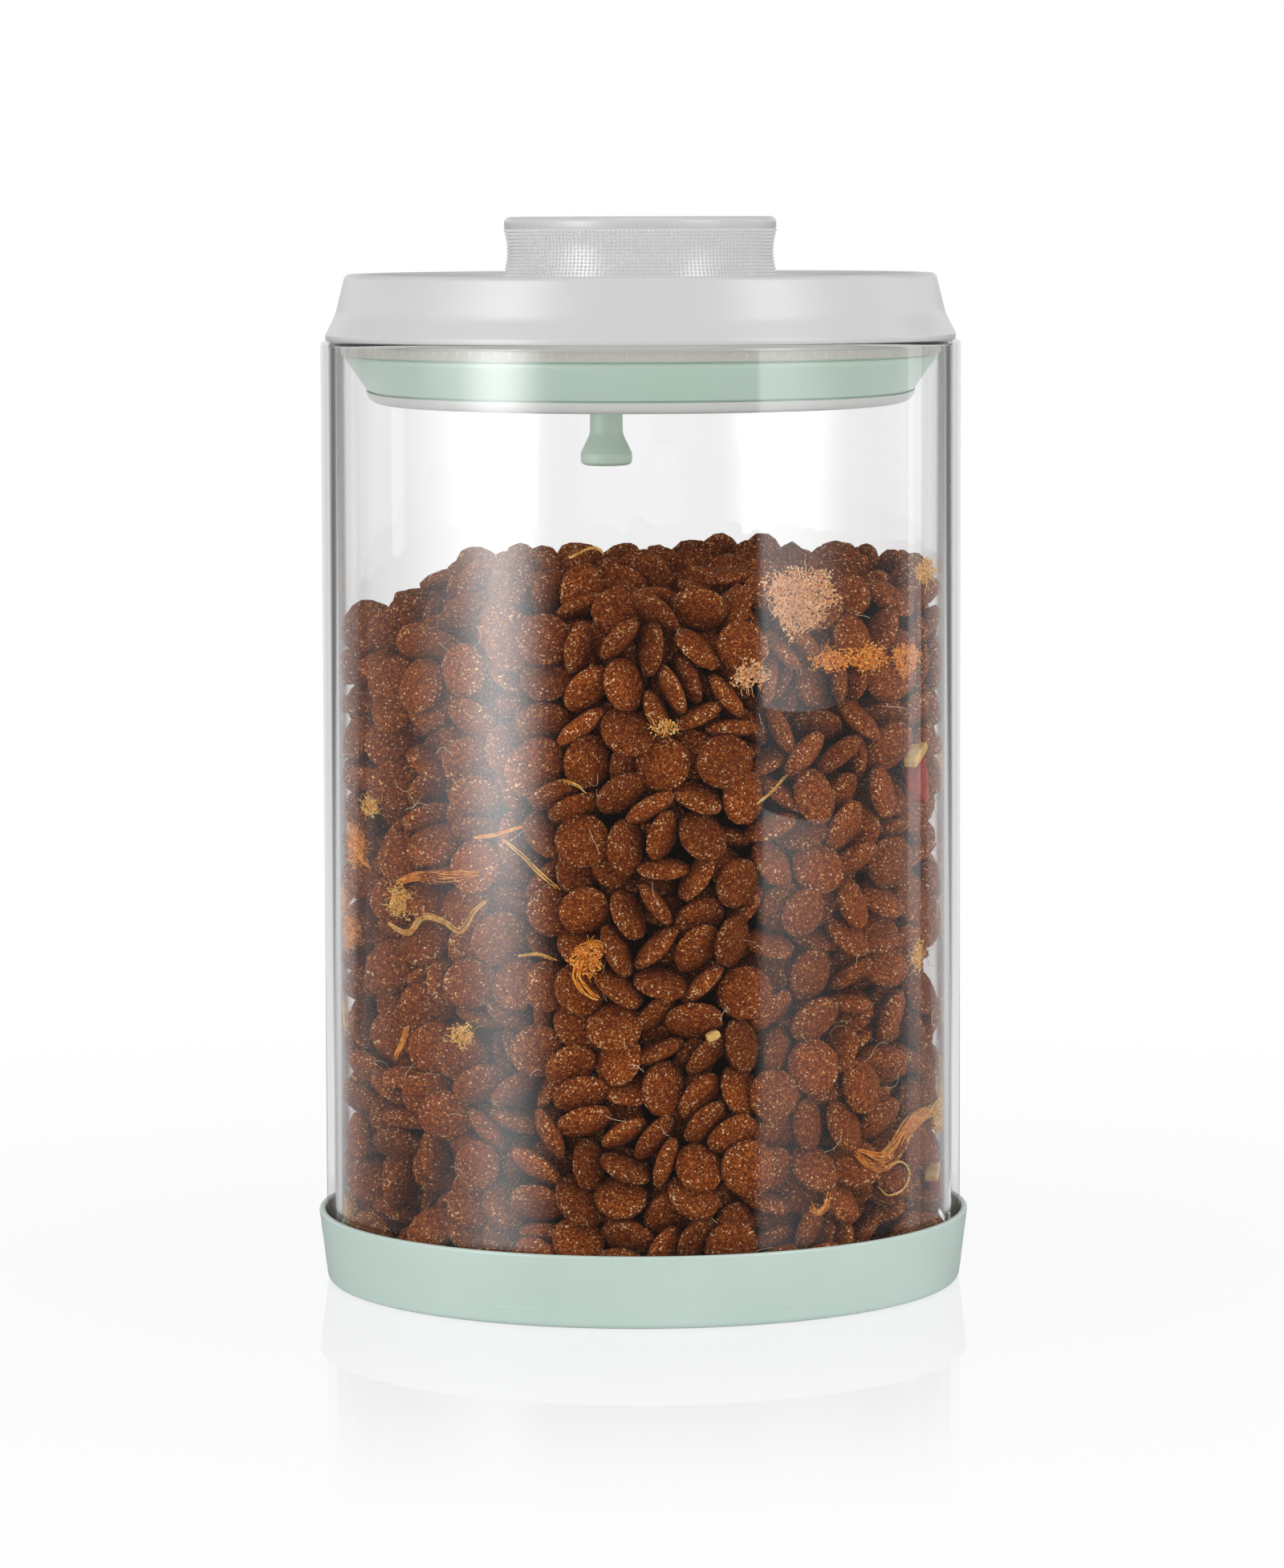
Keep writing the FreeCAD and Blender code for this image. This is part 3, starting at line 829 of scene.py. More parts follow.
def makeSeal():
    low, high = heights("seal_ring")
    lip = outerRadius("seal_ring")
    foot = outerRadius("pressure_plate")
    inner = lip - seal["wall"]
    coreLow = heights("lid_core")[0]
    piece = turned("silicone_seal", sealRubber, [
        (inner, coreLow - seal["gap"]),
        (foot - plate["edgeWidth"], low + seal["gap"]),
        (foot - plate["edgeWidth"], low),
        (foot - seal["grooveDeep"], low),
        (foot - seal["grooveDeep"], low + seal["groove"]),
        (foot + seal["footProud"], low + seal["groove"], seal["footRound"]),
        (lip, high - seal["lip"], seal["coneRound"]),
        (lip, high - seal["groove"], seal["lipRound"]),
        (lip - seal["grooveDeep"], high - seal["groove"]),
        (lip - seal["grooveDeep"], high),
        (inner, high),
    ], closed=True, steps=4)
    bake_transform(piece)
    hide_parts("seal_ring")


def makePlate():
    low = heights("pressure_plate")[0]
    rim = outerRadius("pressure_plate")
    edge = heights("seal_ring")[0]
    piece = turned("pressure_plate_dish", platePlastic, [
        (0, low),
        (rim, low, plate["edgeRound"]),
        (rim, edge),
        (rim - plate["edgeWidth"], edge),
        (rim - plate["edgeWidth"], low + plate["floor"]),
        (0, low + plate["floor"]),
    ])
    place(piece, "plate", "plate_plastic", "pressure_plate")


def makePlug():
    low, high = heights("pull_plug")
    left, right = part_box("pull_plug")
    foot = outerRadius("pull_plug")
    under = heights("pressure_plate")[0]
    seat = under + plate["floor"]
    piece = turned("silicone_pull_plug", plugRubberLightened, [
        (0, low),
        (plug["footFlat"], low),
        (foot, low, plug["footRound"]),
        (foot, low + plug["footHeight"], plug["ankleRound"]),
        (plug["shaft"], low + plug["footHeight"] + plug["flare"], plug["flareRound"]),
        (plug["shaft"], under),
        (plug["neck"], under),
        (plug["neck"], seat),
        (plug["head"], seat),
        (plug["head"], high),
        (0, high),
    ], segments=96, centre=toMm(left.x + right.x) / 2)
    place(piece, "plate", "seal_silicone", "pull_plug")


# Hardware that only shows from below or with the lid open, taken over from the frame with smooth shading

threes = (1, 2, 3)
hardware = [
    # nodes, slot, finish
    (["lid_core"], "core_plastic", creamPlastic),
    (["push_sleeve"] + [f"lever_{n}" for n in threes], "lever_plastic", acetal),
    ([f"lever_pin_{n}" for n in threes] + [f"lift_staple_{n}" for n in threes], "steel", steel),
    (["core_screws", "button_screw", "latch_follower"], "steel", steel),
]


def smoothCopy(node, material):
    mesh = frame["nodes"][node].data.copy()
    form = bmesh.new()
    form.from_mesh(mesh)
    bmesh.ops.remove_doubles(form, verts=form.verts, dist=mm(0.001))
    form.to_mesh(mesh)
    form.free()
    mesh.shade_smooth()
    mesh.set_sharp_from_angle(angle=math.radians(28))
    mesh.materials.clear()
    mesh.materials.append(material)
    return newObject(node + "_smooth", mesh)


def makeHardware():
    for nodes, slot, material in hardware:
        for node in nodes:
            place(smoothCopy(node, material), frame["nodes"][node]["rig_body"], slot, node)


def makeSpring():
    # the coil stands on the core's hub below the button, which shortens it in use; here it is copied as it
    # stands in the frame, with smooth shading
    piece = smoothCopy("return_spring", steel)
    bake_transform(piece)
    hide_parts("return_spring")


# Kibble: lens shaped pieces, settled by pushing apart the balls that stand for each one

kibble = {
    "diameter": 9.9,
    "thickness": 3.8,
    "balls": 6,               # round the middle one
    "ringRadius": 3.05,
    "ballRadius": 1.9,
    "spacing": 6.7,
    "jitter": 0.3,            # share of the spacing that a piece starts off its place
    "startGap": 2.0,          # from the glass's floor to the middle of the lowest pieces
    "wallGap": 0.3,
    "hollowRadius": 40.0,     # no piece is laid in the middle of the heap, where only the bed fills it
    "hollowBelowTop": 30.0,
    "bedInset": 13.5,         # from the glass to the bed, dark with painted shade, under the shown pieces
    "bedBelowTop": 13.0,
    "bedRound": 5.0,
    "bedShoulder": 1.5,       # how far its rounded shoulder lies below its dome
    "bedGap": 2.0,            # from the glass's floor to the bed
    "peakX": 12.0,
    "domeRadius": 200.0,
    "topInset": 2.2,          # from the heap's outer shape to the middle of a piece
    "wallLean": 1.1,
    "leanWithin": 1.3,        # spacings from the glass
    "fallPerRound": 0.012,
    "pushShare": 0.35,        # how much of an overlap each ball gives way in a round
    "rounds": 240,
    "quickRounds": 60,
    "roundsPerSearch": 6,
    "searchGap": 0.8,         # between balls that are looked at in the rounds before the next search
    "shapes": 4,
    "segments": 14,
    "levels": [(0.64, -0.8), (1.0, -0.32), (1.0, 0.32), (0.64, 0.8)],
    "unevenness": 0.02,
    "thinToThick": (0.92, 1.05),
    "smallToLarge": (0.93, 1.05),
    "bakeSpread": 0.13,
    "darkToLight": (0.72, 1.35),
    "crumbRoom": 0.4,         # room round a patch of crumbs and round a chunk, as a share of its size
    "chunkRoom": 0.8,
    "seed": 31,
    "piecesPerHeap": 1200,
}


def domeAt(peak, squareReach):
    return peak - squareReach / (2 * kibble["domeRadius"])


def heapTop(x, y):
    return domeAt(heights("kibble_heap")[1], (x - kibble["peakX"]) ** 2 + y ** 2)


def heapStart(bore, floorZ, random):
    pitch = kibble["spacing"]
    across = np.arange(-bore, bore, pitch)
    levels = np.arange(floorZ + pitch / 2, heights("kibble_heap")[1], pitch)
    grid = np.stack(np.meshgrid(across, across, levels, indexing="ij"), axis=-1).reshape(-1, 3)
    grid += random.uniform(-kibble["jitter"], kibble["jitter"], grid.shape) * pitch
    x, y, z = grid.T
    reach = np.hypot(x, y)
    between = (z > floorZ + kibble["startGap"]) & (z < heapTop(x, y) - kibble["topInset"])
    inHeap = (reach < bore - pitch / 2) & between
    hollowTop = heights("kibble_heap")[1] - kibble["hollowBelowTop"]
    shown = (reach > kibble["hollowRadius"] + pitch / 2) | (z > hollowTop + pitch / 2)
    return grid[inHeap & shown]


def closePairs(points, owners, reach):
    # points are sorted into cubes of side reach, and each cube is set against half of its neighbours
    cubes = np.floor((points - points.min(axis=0)) / reach).astype(np.int64)
    size = cubes.max(axis=0) + 3
    keys = (cubes[:, 0] * size[1] + cubes[:, 1]) * size[2] + cubes[:, 2]
    order = np.argsort(keys, kind="stable")
    inOrder = keys[order]
    steps = (-1, 0, 1)
    half = [(x, y, z) for x in steps for y in steps for z in steps if (x, y, z) >= (0, 0, 0)]
    firsts, seconds = [], []
    for x, y, z in half:
        wanted = keys + (x * size[1] + y) * size[2] + z
        low = np.searchsorted(inOrder, wanted, "left")
        count = np.searchsorted(inOrder, wanted, "right") - low
        first = np.repeat(np.arange(len(points)), count)
        within = np.arange(count.sum()) - np.repeat(np.cumsum(count) - count, count)
        second = order[np.repeat(low, count) + within]
        fresh = first < second if (x, y, z) == (0, 0, 0) else np.ones(len(first), bool)
        apart = fresh & (owners[first] != owners[second])
        first, second = first[apart], second[apart]
        near = ((points[first] - points[second]) ** 2).sum(axis=1) < reach ** 2
        firsts.append(first[near])
        seconds.append(second[near])
    return np.concatenate(firsts), np.concatenate(seconds)


def keepInJar(balls, bore, floorZ):
    radius = kibble["ballRadius"]
    reach = np.maximum(np.hypot(balls[:, 0], balls[:, 1]), 1e-6)
    wall = bore - kibble["wallGap"] - radius
    balls[:, :2] *= np.minimum(1, wall / reach)[:, None]
    reach = np.minimum(reach, wall)
    balls[:, 2] = np.maximum(balls[:, 2], floorZ + radius)
    # the rounded corner between the floor and the wall
    corner = glass["heelRound"] - glass["wall"]
    out, down = reach - (bore - corner), floorZ + corner - balls[:, 2]
    deep = np.maximum(np.hypot(out, down), 1e-6)
    pull = np.where((out > 0) & (down > 0) & (deep > corner - radius), 1 - (corner - radius) / deep, 0)
    balls[:, :2] *= (1 - pull * out / reach)[:, None]
    balls[:, 2] += pull * down
    hollow = kibble["hollowRadius"] + radius
    top = heights("kibble_heap")[1] - kibble["hollowBelowTop"] + radius
    inside = (reach < hollow) & (balls[:, 2] < top)
    lifted = inside & (balls[:, 2] > top - 4 * radius)
    balls[lifted, 2] = top
    pushed = inside & ~lifted
    balls[pushed, :2] *= (hollow / reach[pushed])[:, None]


def unit(vectors):
    return vectors / np.linalg.norm(vectors, axis=1)[:, None]


def settledHeap(bore, floorZ):
    random = np.random.default_rng(kibble["seed"])
    centres = heapStart(bore, floorZ, random)
    around = np.radians(np.arange(kibble["balls"]) * 360 / kibble["balls"])
    ring = np.stack([np.cos(around), np.sin(around)], axis=1)
    disc = np.vstack([[0.0, 0.0], ring]) * kibble["ringRadius"]
    # a piece starts out tilted at random, but those at the glass lean flat against it
    facing = random.normal(size=centres.shape)
    reach = np.hypot(centres[:, 0], centres[:, 1])
    lean = kibble["wallLean"] * (reach > bore - kibble["spacing"] * kibble["leanWithin"])
    facing[:, :2] += centres[:, :2] * (lean / np.maximum(reach, 1))[:, None] * np.sign(facing[:, :1])
    first = np.cross(facing, random.normal(size=centres.shape))
    second = unit(np.cross(facing, first))
    first = unit(first)
    owners = np.repeat(np.arange(len(centres)), len(disc))
    touching = 2 * kibble["ballRadius"]
    rounds = kibble["rounds"]
    for step in range(rounds):
        centres[:, 2] -= kibble["fallPerRound"] * (1 - step / rounds)
        balls = centres[:, None] + disc[:, :1] * first[:, None] + disc[:, 1:] * second[:, None]
        balls = balls.reshape(-1, 3)
        if step % kibble["roundsPerSearch"] == 0:
            one, other = closePairs(balls, owners, touching + kibble["searchGap"])
        between = balls[one] - balls[other]
        distance = np.maximum(np.linalg.norm(between, axis=1), 1e-6)
        push = between * (kibble["pushShare"] * np.maximum(touching - distance, 0) / distance)[:, None]
        for axis in range(3):
            balls[:, axis] += np.bincount(one, push[:, axis], len(balls))
            balls[:, axis] -= np.bincount(other, push[:, axis], len(balls))
        keepInJar(balls, bore, floorZ)
        groups = balls.reshape(len(centres), len(disc), 3)
        centres = groups.mean(axis=1)
        loose = groups - centres[:, None]
        first = unit(np.einsum("nki,k->ni", loose, disc[:, 0]))
        second = np.einsum("nki,k->ni", loose, disc[:, 1])
        second = unit(second - first * (first * second).sum(axis=1)[:, None])
    normal = np.cross(first, second)
    tilts = np.stack([
        np.arctan2(second[:, 2], normal[:, 2]),
        -np.arcsin(np.clip(first[:, 2], -1, 1)),
        np.arctan2(first[:, 1], first[:, 0])], axis=1)
    print("heap of", len(centres), "pieces, highest at", round(float(centres[:, 2].max()), 1))
    return centres, tilts, random


def ringedShape(name, levels, radius, half, segments, wander, material, random):
    # rings of points between two poles; levels are (share of the radius, share of the half height)
    angles = np.linspace(0, 2 * math.pi, segments, endpoint=False)
    outline = 1 + wander * np.sin(2 * angles + random.uniform(0, 6))
    outline += random.uniform(-wander, wander, segments) / 2
    vertices, rings = [(0, 0, -half)], [[0]]
    for share, lift in levels:
        bumps = random.uniform(-wander, wander, segments) * 1.5
        rings.append(list(range(len(vertices), len(vertices) + segments)))
        for a, w, b in zip(angles, outline, bumps):
            reach = radius * share * w
            vertices.append((reach * math.cos(a), reach * math.sin(a), half * (lift + b)))
    rings.append([len(vertices)])
    vertices.append((0, 0, half))
    shape = meshObject(name, vertices, ringFaces(rings), material, creaseAngle=75)
    shares = [0.0] + [share ** 6 for share, lift in levels for _ in range(segments)] + [0.0]
    shape.data.attributes.new("rim", "FLOAT", "POINT").data.foreach_set("value", shares)
    return shape


def shapeCollection(name, shapes):
    collection = bpy.data.collections.new(name)
    bpy.context.scene.collection.children.link(collection)
    for shape in shapes:
        bpy.context.scene.collection.objects.unlink(shape)
        collection.objects.link(shape)
    return collection


def dropCollection(collection):
    for shape in list(collection.objects):
        bpy.data.objects.remove(shape)
    bpy.data.collections.remove(collection)


def pointCloud(name, positions, attributes):
    # an attribute has a number or a vector for each point
    mesh = bpy.data.meshes.new(name)
    mesh.from_pydata([tuple(p) for p in positions], [], [])
    for key, values in attributes.items():
        values = np.asarray(values, np.float32)
        kind, field = ("FLOAT_VECTOR", "vector") if values.ndim == 2 else ("FLOAT", "value")
        mesh.attributes.new(key, kind, "POINT").data.foreach_set(field, values.ravel())
    return mesh


def piecesTree():
    # one of the shapes on each point, turned and sized as the point says
    tree, given = geometryTree("pieces_on_points", {"Shapes": "Collection"})
    add = partial(addNode, tree)
    shapes = add("GeometryNodeCollectionInfo", {
        "Collection": given["Shapes"], "Separate Children": True, "Reset Children": True})
    tilt = add("GeometryNodeInputNamedAttribute", {"Name": "tilt"}, data_type="FLOAT_VECTOR")
    size = add("GeometryNodeInputNamedAttribute", {"Name": "size"}, data_type="FLOAT")
    shape = add("GeometryNodeInputNamedAttribute", {"Name": "shape"}, data_type="FLOAT")
    laid = add("GeometryNodeInstanceOnPoints", {
        "Points": given["Geometry"], "Instance": shapes, "Pick Instance": True, "Instance Index": shape,
        "Rotation": add("FunctionNodeEulerToRotation", tilt), "Scale": size})
    finishTree(tree, add("GeometryNodeRealizeInstances", laid), given["Material"])
    return tree


def makeKibble(tree):
    bore = boreRadius()
    floorZ = heights("glass_jar")[0] + glass["floor"]
    centres, tilts, random = settledHeap(bore, floorZ)
    # pieces make room for the bits that lie among them at the glass
    patches = [patch for tint in crumbs.values() for patch in tint]
    rooms = [(patch, kibble["crumbRoom"] * min(patch[2:]) + kibble["thickness"] / 2) for patch in patches]
    rooms += [(chunk, kibble["chunkRoom"] * max(chunk[2:4])) for chunk in chunks]
    for (azimuth, height, *_), room in rooms:
        clear = np.linalg.norm(centres - nearGlass(azimuth, height, floss["inset"]), axis=1) > room
        centres, tilts = centres[clear], tilts[clear]
    crust = bakedKibble("baked_kibble")
    radius, half = mm(kibble["diameter"]) / 2, mm(kibble["thickness"]) / 2
    shapes = shapeCollection("kibble_shapes", [
        ringedShape(f"kibble_shape_{number}", kibble["levels"], radius,
                    half * random.uniform(*kibble["thinToThick"]),
                    kibble["segments"], kibble["unevenness"], crust, random)
        for number in range(kibble["shapes"])])
    for number, start in enumerate(range(0, len(centres), kibble["piecesPerHeap"]), start=1):
        part = slice(start, start + kibble["piecesPerHeap"])
        count = len(centres[part])
        cloud = pointCloud(f"kibble_points_{number}", mm(centres[part]), {
            "tilt": tilts[part],
            "size": random.uniform(*kibble["smallToLarge"], count),
            "shape": random.integers(0, kibble["shapes"], count),
            "bake": random.normal(1.0, kibble["bakeSpread"], count).clip(*kibble["darkToLight"])})
        heap = grown(f"kibble_heap_{number}", cloud, tree, {"Shapes": shapes, "Material": crust})
        place(heap, "jar", "kibble", "kibble_heap")
    dropCollection(shapes)
    makeBed(bore, floorZ + kibble["bedGap"])


def makeBed(bore, low):
    # the food further in as one piece, its colour painted shade, so that no light shows through the gaps
    # between the outer pieces
    radius, bend = bore - kibble["bedInset"], kibble["bedRound"]
    peak = heights("kibble_heap")[1] - kibble["bedBelowTop"]
    dome = [(r, domeAt(peak, r ** 2)) for r in np.linspace(radius - bend - 1, 0, 7)]
    shoulder = (radius, domeAt(peak, radius ** 2) - kibble["bedShoulder"], bend)
    shadow = bitCrust("kibble_painted_shade", ["#1D0F08", "#2E180C", "#40220F"], 0.9, 3.0)
    bed = turned("kibble_bed", shadow, [(0, low), (radius, low, bend), shoulder, *dome], segments=96)
    place(bed, "jar", "kibble")


# Bits among the kibble: crumbs and shreds of egg floss, dried peel and fine straw hairs

crumbs = {
    # azimuth from the front, height, wide, tall of each patch
    "pale": [
        (30, 131.5, 13.0, 11.0), (20, 118.2, 5.6, 4.6), (-165, 38.0, 7.0, 5.0)],
    "orange": [
        (37, 120.3, 9.0, 3.4), (46, 120.2, 8.5, 4.2), (57, 119.4, 8.0, 5.0), (-66, 84.5, 6.5, 6.5),
        (-76, 74.1, 5.5, 4.5), (-70, 68.0, 6.0, 6.0), (-10, 67.0, 5.5, 4.6), (110, 92.0, 9.0, 6.0),
        (-140, 108.0, 9.0, 5.0)],
    "yellow": [
        (4, 109.1, 4.2, 2.6), (65, 135.0, 6.5, 3.6), (-60, 92.3, 5.0, 3.4), (-35, 52.0, 5.0, 4.0),
        (-50, 75.5, 6.5, 5.5), (72, 33.0, 7.0, 5.0), (61, 64.0, 3.0, 5.0), (-74, 15.0, 5.0, 3.0),
        (150, 60.0, 8.0, 7.0), (175, 118.0, 7.0, 6.0)],
}
shreds = {
    # width at the middle, then azimuth and height along each shred
    "orange": [
        (1.9, [(-51, 79.2), (-44, 80.6), (-38, 81.0), (-31, 81.9)]),
        (0.8, [(-32, 88.4), (-27, 89.3), (-22, 90.9)]),
        (1.4, [(-69, 88.6), (-66, 84.0), (-60, 80.9)]),
        (1.1, [(-48, 52.8), (-50, 49.2), (-52, 46.3)]),
        (2.2, [(-13, 66.9), (-10, 69.2), (-6, 69.0)]),
        (1.7, [(-11, 67.6), (-12, 64.0), (-10, 61.1), (-8, 59.9)]),
        (3.4, [(43, 29.6), (49, 27.2), (54, 28.8), (59, 32.6), (66, 34.8)]),
        (1.0, [(32, 21.5), (33, 19.6), (35, 20.2), (36, 23.1)]),
        (2.4, [(120, 70.0), (128, 73.0), (135, 71.0), (142, 75.0)]),
        (1.6, [(100, 30.0), (106, 34.0), (113, 31.0)]),
        (1.5, [(-100, 100.0), (-107, 97.0), (-113, 99.0)]),
    ],
    "yellow": [
        (1.1, [(-54, 71.3), (-48, 70.0), (-44, 73.2), (-39, 72.8), (-35, 71.3), (-32, 75.0),
               (-29, 77.4)]),
        (0.7, [(-26, 88.4), (-22, 85.6), (-19, 82.8), (-15, 79.6)]),
        (1.8, [(-82, 55.6), (-78, 52.8), (-73, 49.2)]),
        (0.6, [(-23, 67.3), (-19, 67.7), (-15, 66.5)]),
        (2.6, [(62, 33.0), (70, 34.6), (78, 34.8), (86, 38.6), (84, 42.5)]),
        (0.6, [(48, 22.9), (51, 20.8), (56, 21.4), (58, 24.2), (55, 26.6), (50, 26.0)]),
        (0.5, [(-13, 139.5), (-10, 141.0), (-8, 141.4), (-6, 139.8)]),
        (0.6, [(21, 94.8), (24, 97.0), (27, 100.0)]),
        (0.5, [(-15, 99.8), (-12, 98.7), (-10, 97.3)]),
        (1.2, [(-120, 50.0), (-126, 54.0), (-132, 51.0), (-138, 53.0)]),
        (2.0, [(165, 95.0), (172, 92.0), (-178, 94.0)]),
    ],
}
chunks = [
    # azimuth, height, wide, tall, lean, outline, tint
    (64, 96.0, 5.0, 8.0, 24, "wedge", "red"),
    (63, 101.2, 6.4, 2.0, 32, "slab", "rind"),
    (79, 18.4, 4.4, 6.6, -18, "wedge", "red"),
    (74, 22.0, 4.4, 1.5, 40, "slab", "rind"),
    (13, 52.9, 2.6, 1.6, 28, "slab", "rind"),
    (-128, 84.0, 5.0, 7.0, -30, "wedge", "red"),
    (141, 24.0, 4.6, 6.5, 15, "wedge", "red"),
]
outlines = {
    # shares of the width and of the height
    "wedge": [(-0.5, -0.1), (-0.2, -0.5), (0.2, -0.5), (0.45, -0.1), (0.5, 0.5), (-0.1, 0.45),
              (-0.45, 0.3)],
    "slab": [(-0.5, -0.35), (-0.1, -0.5), (0.45, -0.4), (0.5, 0.3), (0.1, 0.5), (-0.4, 0.45)],
}
floss = {
    "inset": 1.6,             # from the glass to the middle of a bit
    "wallGap": 0.2,
    "grain": 0.42,            # size of one crumb
    "grainSizes": (0.5, 1.25),
    "grainShapes": 4,
    "grainLevels": [(0.8, -0.5), (1.0, 0.3)],
    "grainsPerArea": 11.0,    # for each square mm of a patch
    "crowding": 0.62,         # 0.5 spreads the crumbs evenly, and more draws them to the middle of a patch
    "lobes": {3: 0.25, 7: 0.2},  # how many waves the edge of a patch has, with their share of its size
    "scatter": 0.35,
    "fuzzPerArea": 2.6,       # short fibres that stick out of each square mm of a patch
    "fuzzStep": 0.38,
    "fuzzPoints": (4, 9),
    "fuzzCurl": (0.1, 0.6),
    "fuzzInset": (0.3, 1.4),
    "fuzz": 0.13,
    "layer": 2.4,             # how deep a patch is at its middle
    "layerThins": 0.9,        # share of that depth that is gone at its edge
    "layerInset": 0.45,       # from the glass to the nearest crumbs
    "fibresPerWidth": 9,      # for each mm of a shred's width
    "fibreStep": 0.6,
    "fibreInset": 0.5,
    "fibreWave": 0.12,        # a fibre's swing and a shred's depth, as shares of the shred's width
    "shredDeep": 0.35,
    "fibreEnds": 3,           # a fibre stops fewer steps than this before either end
    "fibre": 0.17,
    "wander": 0.18,           # how much a fibre's heading changes at random in a step
    "chunkInset": 0.8,
    "chunkDeep": 2.2,
    "chunkRound": 0.35,
    "hairs": 150,
    "hairLowest": 12.0,
    "hairBelowTop": 3.0,
    "hairStep": 0.7,
    "hairPoints": (5, 12),
    "hairCurl": (0.1, 0.5),
    "hairInset": (0.4, 2.2),
    "hair": 0.1,
    "seed": 5,
}
bitTints = {
    "pale": ["#E08A42", "#FFC286", "#FFEBCC"],
    "orange": ["#DE701C", "#FFA636", "#FFCE86"],
    "yellow": ["#D8902C", "#F8BE5C", "#FFE2A6"],
}


def nearGlass(azimuth, height, inset):
    reach = boreRadius() - inset
    turn = math.radians(azimuth)
    return np.array([reach * math.sin(turn), -reach * math.cos(turn), height])


def sideways(azimuth, across):
    # the azimuth that lies across mm further round the bore
    return azimuth + math.degrees(across / boreRadius())


def inJar(line):
    limit = boreRadius() - floss["wallGap"]
    for point in line:
        point[:2] *= min(1.0, limit / math.hypot(point[0], point[1]))
    return line


def makeCrumbs(tree, random):
    half = mm(floss["grain"]) / 2
    for tint, patches in crumbs.items():
        finish = bitCrust("egg_floss_crumb_" + tint, bitTints[tint], 0.8, 0.6)
        shapes = shapeCollection("crumb_shapes", [
            ringedShape(f"crumb_shape_{tint}_{number}", floss["grainLevels"], half, half,
                        5, 0.25, finish, random)
            for number in range(floss["grainShapes"])])
        spots = []
        for azimuth, height, wide, tall in patches:
            count = int(floss["grainsPerArea"] * wide * tall)
            turn = random.uniform(0, 2 * math.pi, count)
            share = random.uniform(0, 1, count) ** floss["crowding"]
            edge = 1.0
            for waves, size in floss["lobes"].items():
                edge = edge + size * np.sin(waves * turn + random.uniform(0, 6))
            across = wide / 2 * share * edge * np.cos(turn) + random.normal(0, floss["scatter"], count)
            up = height + tall / 2 * share * edge * np.sin(turn) + random.normal(0, floss["scatter"], count)
            deep = floss["layer"] * (1 - floss["layerThins"] * share) * random.uniform(0, 1, count)
            inset = floss["layerInset"] + deep
            spots += [nearGlass(sideways(azimuth, a), z, gap) for a, z, gap in zip(across, up, inset)]
        cloud = pointCloud("crumb_points_" + tint, mm(np.array(spots)), {
            "tilt": random.uniform(0, 2 * math.pi, (len(spots), 3)),
            "size": random.uniform(*floss["grainSizes"], len(spots)),
            "shape": random.integers(0, floss["grainShapes"], len(spots))})
        piece = grown("floss_crumbs_" + tint, cloud, tree, {"Shapes": shapes, "Material": finish})
        place(piece, "jar", "kibble")
        dropCollection(shapes)


def smoothRoute(points, step):
    # a curve through the points, walked in steps of about the given length
    points = [np.array(p, float) for p in points]
    ends = [2 * points[0] - points[1], *points, 2 * points[-1] - points[-2]]
    route = []
    for before, here, there, after in zip(ends, ends[1:], ends[2:], ends[3:]):
        count = max(2, round(np.linalg.norm(there - here) / step))
        for t in np.arange(count) / count:
            square = (2 * before - 5 * here + 4 * there - after) * t ** 2
            cube = (3 * here - before - 3 * there + after) * t ** 3
            route.append(0.5 * (2 * here + (there - before) * t + square + cube))
    return np.array([*route, points[-1]])


def shredFibres(width, spots, random):
    # a bundle of fibres beside each other, drawn together at both ends of the shred
    bore = boreRadius()
    azimuths = np.unwrap([azimuth for azimuth, height in spots], period=360)
    corners = [(math.radians(azimuth) * bore, spot[1]) for azimuth, spot in zip(azimuths, spots)]
    flat = smoothRoute(corners, floss["fibreStep"])
    along = np.gradient(flat, axis=0)
    side = unit(np.stack([-along[:, 1], along[:, 0]], axis=1))
    share = np.linspace(0, 1, len(flat))
    taper = np.sin(np.pi * (0.12 + 0.76 * share)) ** 0.7
    lines = []
    for _ in range(max(3, int(width * floss["fibresPerWidth"]))):
        offset = random.uniform(-0.5, 0.5) * width
        inset = floss["fibreInset"] + random.uniform(0, floss["shredDeep"] * width)
        wave = floss["fibreWave"] * width * np.sin(share * random.uniform(4, 12) + random.uniform(0, 6))
        first, short = random.integers(0, floss["fibreEnds"]), random.integers(0, floss["fibreEnds"])
        path = flat + side * (taper * (offset + wave))[:, None]
        lines.append([nearGlass(sideways(0, a), h, inset) for a, h in path[first:len(path) - short]])
    return lines


def strand(start, heading, points, step, curl, random):
    # a curly line: the heading turns steadily about a random axis, with a little wander
    axis = random.normal(size=3)
    axis /= np.linalg.norm(axis)
    line = [start]
    for _ in range(points - 1):
        heading = heading + np.cross(axis, heading) * curl + random.normal(size=3) * floss["wander"]
        heading /= np.linalg.norm(heading)
        line.append(line[-1] + heading * step)
    return line


def strandTree():
    tree, given = geometryTree("strands_from_lines", {"Thickness": "Float"})
    add = partial(addNode, tree)
    line = add("GeometryNodeMeshToCurve", given["Geometry"])
    section = add("GeometryNodeCurvePrimitiveCircle", {"Resolution": 3, "Radius": given["Thickness"]})
    tube = add("GeometryNodeCurveToMesh", {"Curve": line, "Profile Curve": section, "Fill Caps": True})
    finishTree(tree, add("GeometryNodeSetShadeSmooth", tube), given["Material"])
    return tree


def strandPiece(name, lines, thickness, material, tree):
    points, edges = [], []
    for line in lines:
        start = len(points)
        points += [tuple(mm(p)) for p in line]
        edges += [(start + i, start + i + 1) for i in range(len(line) - 1)]
    mesh = bpy.data.meshes.new(name + "_lines")
    mesh.from_pydata(points, edges, [])
    piece = grown(name, mesh, tree, {"Thickness": mm(thickness / 2), "Material": material})
    place(piece, "jar", "kibble")


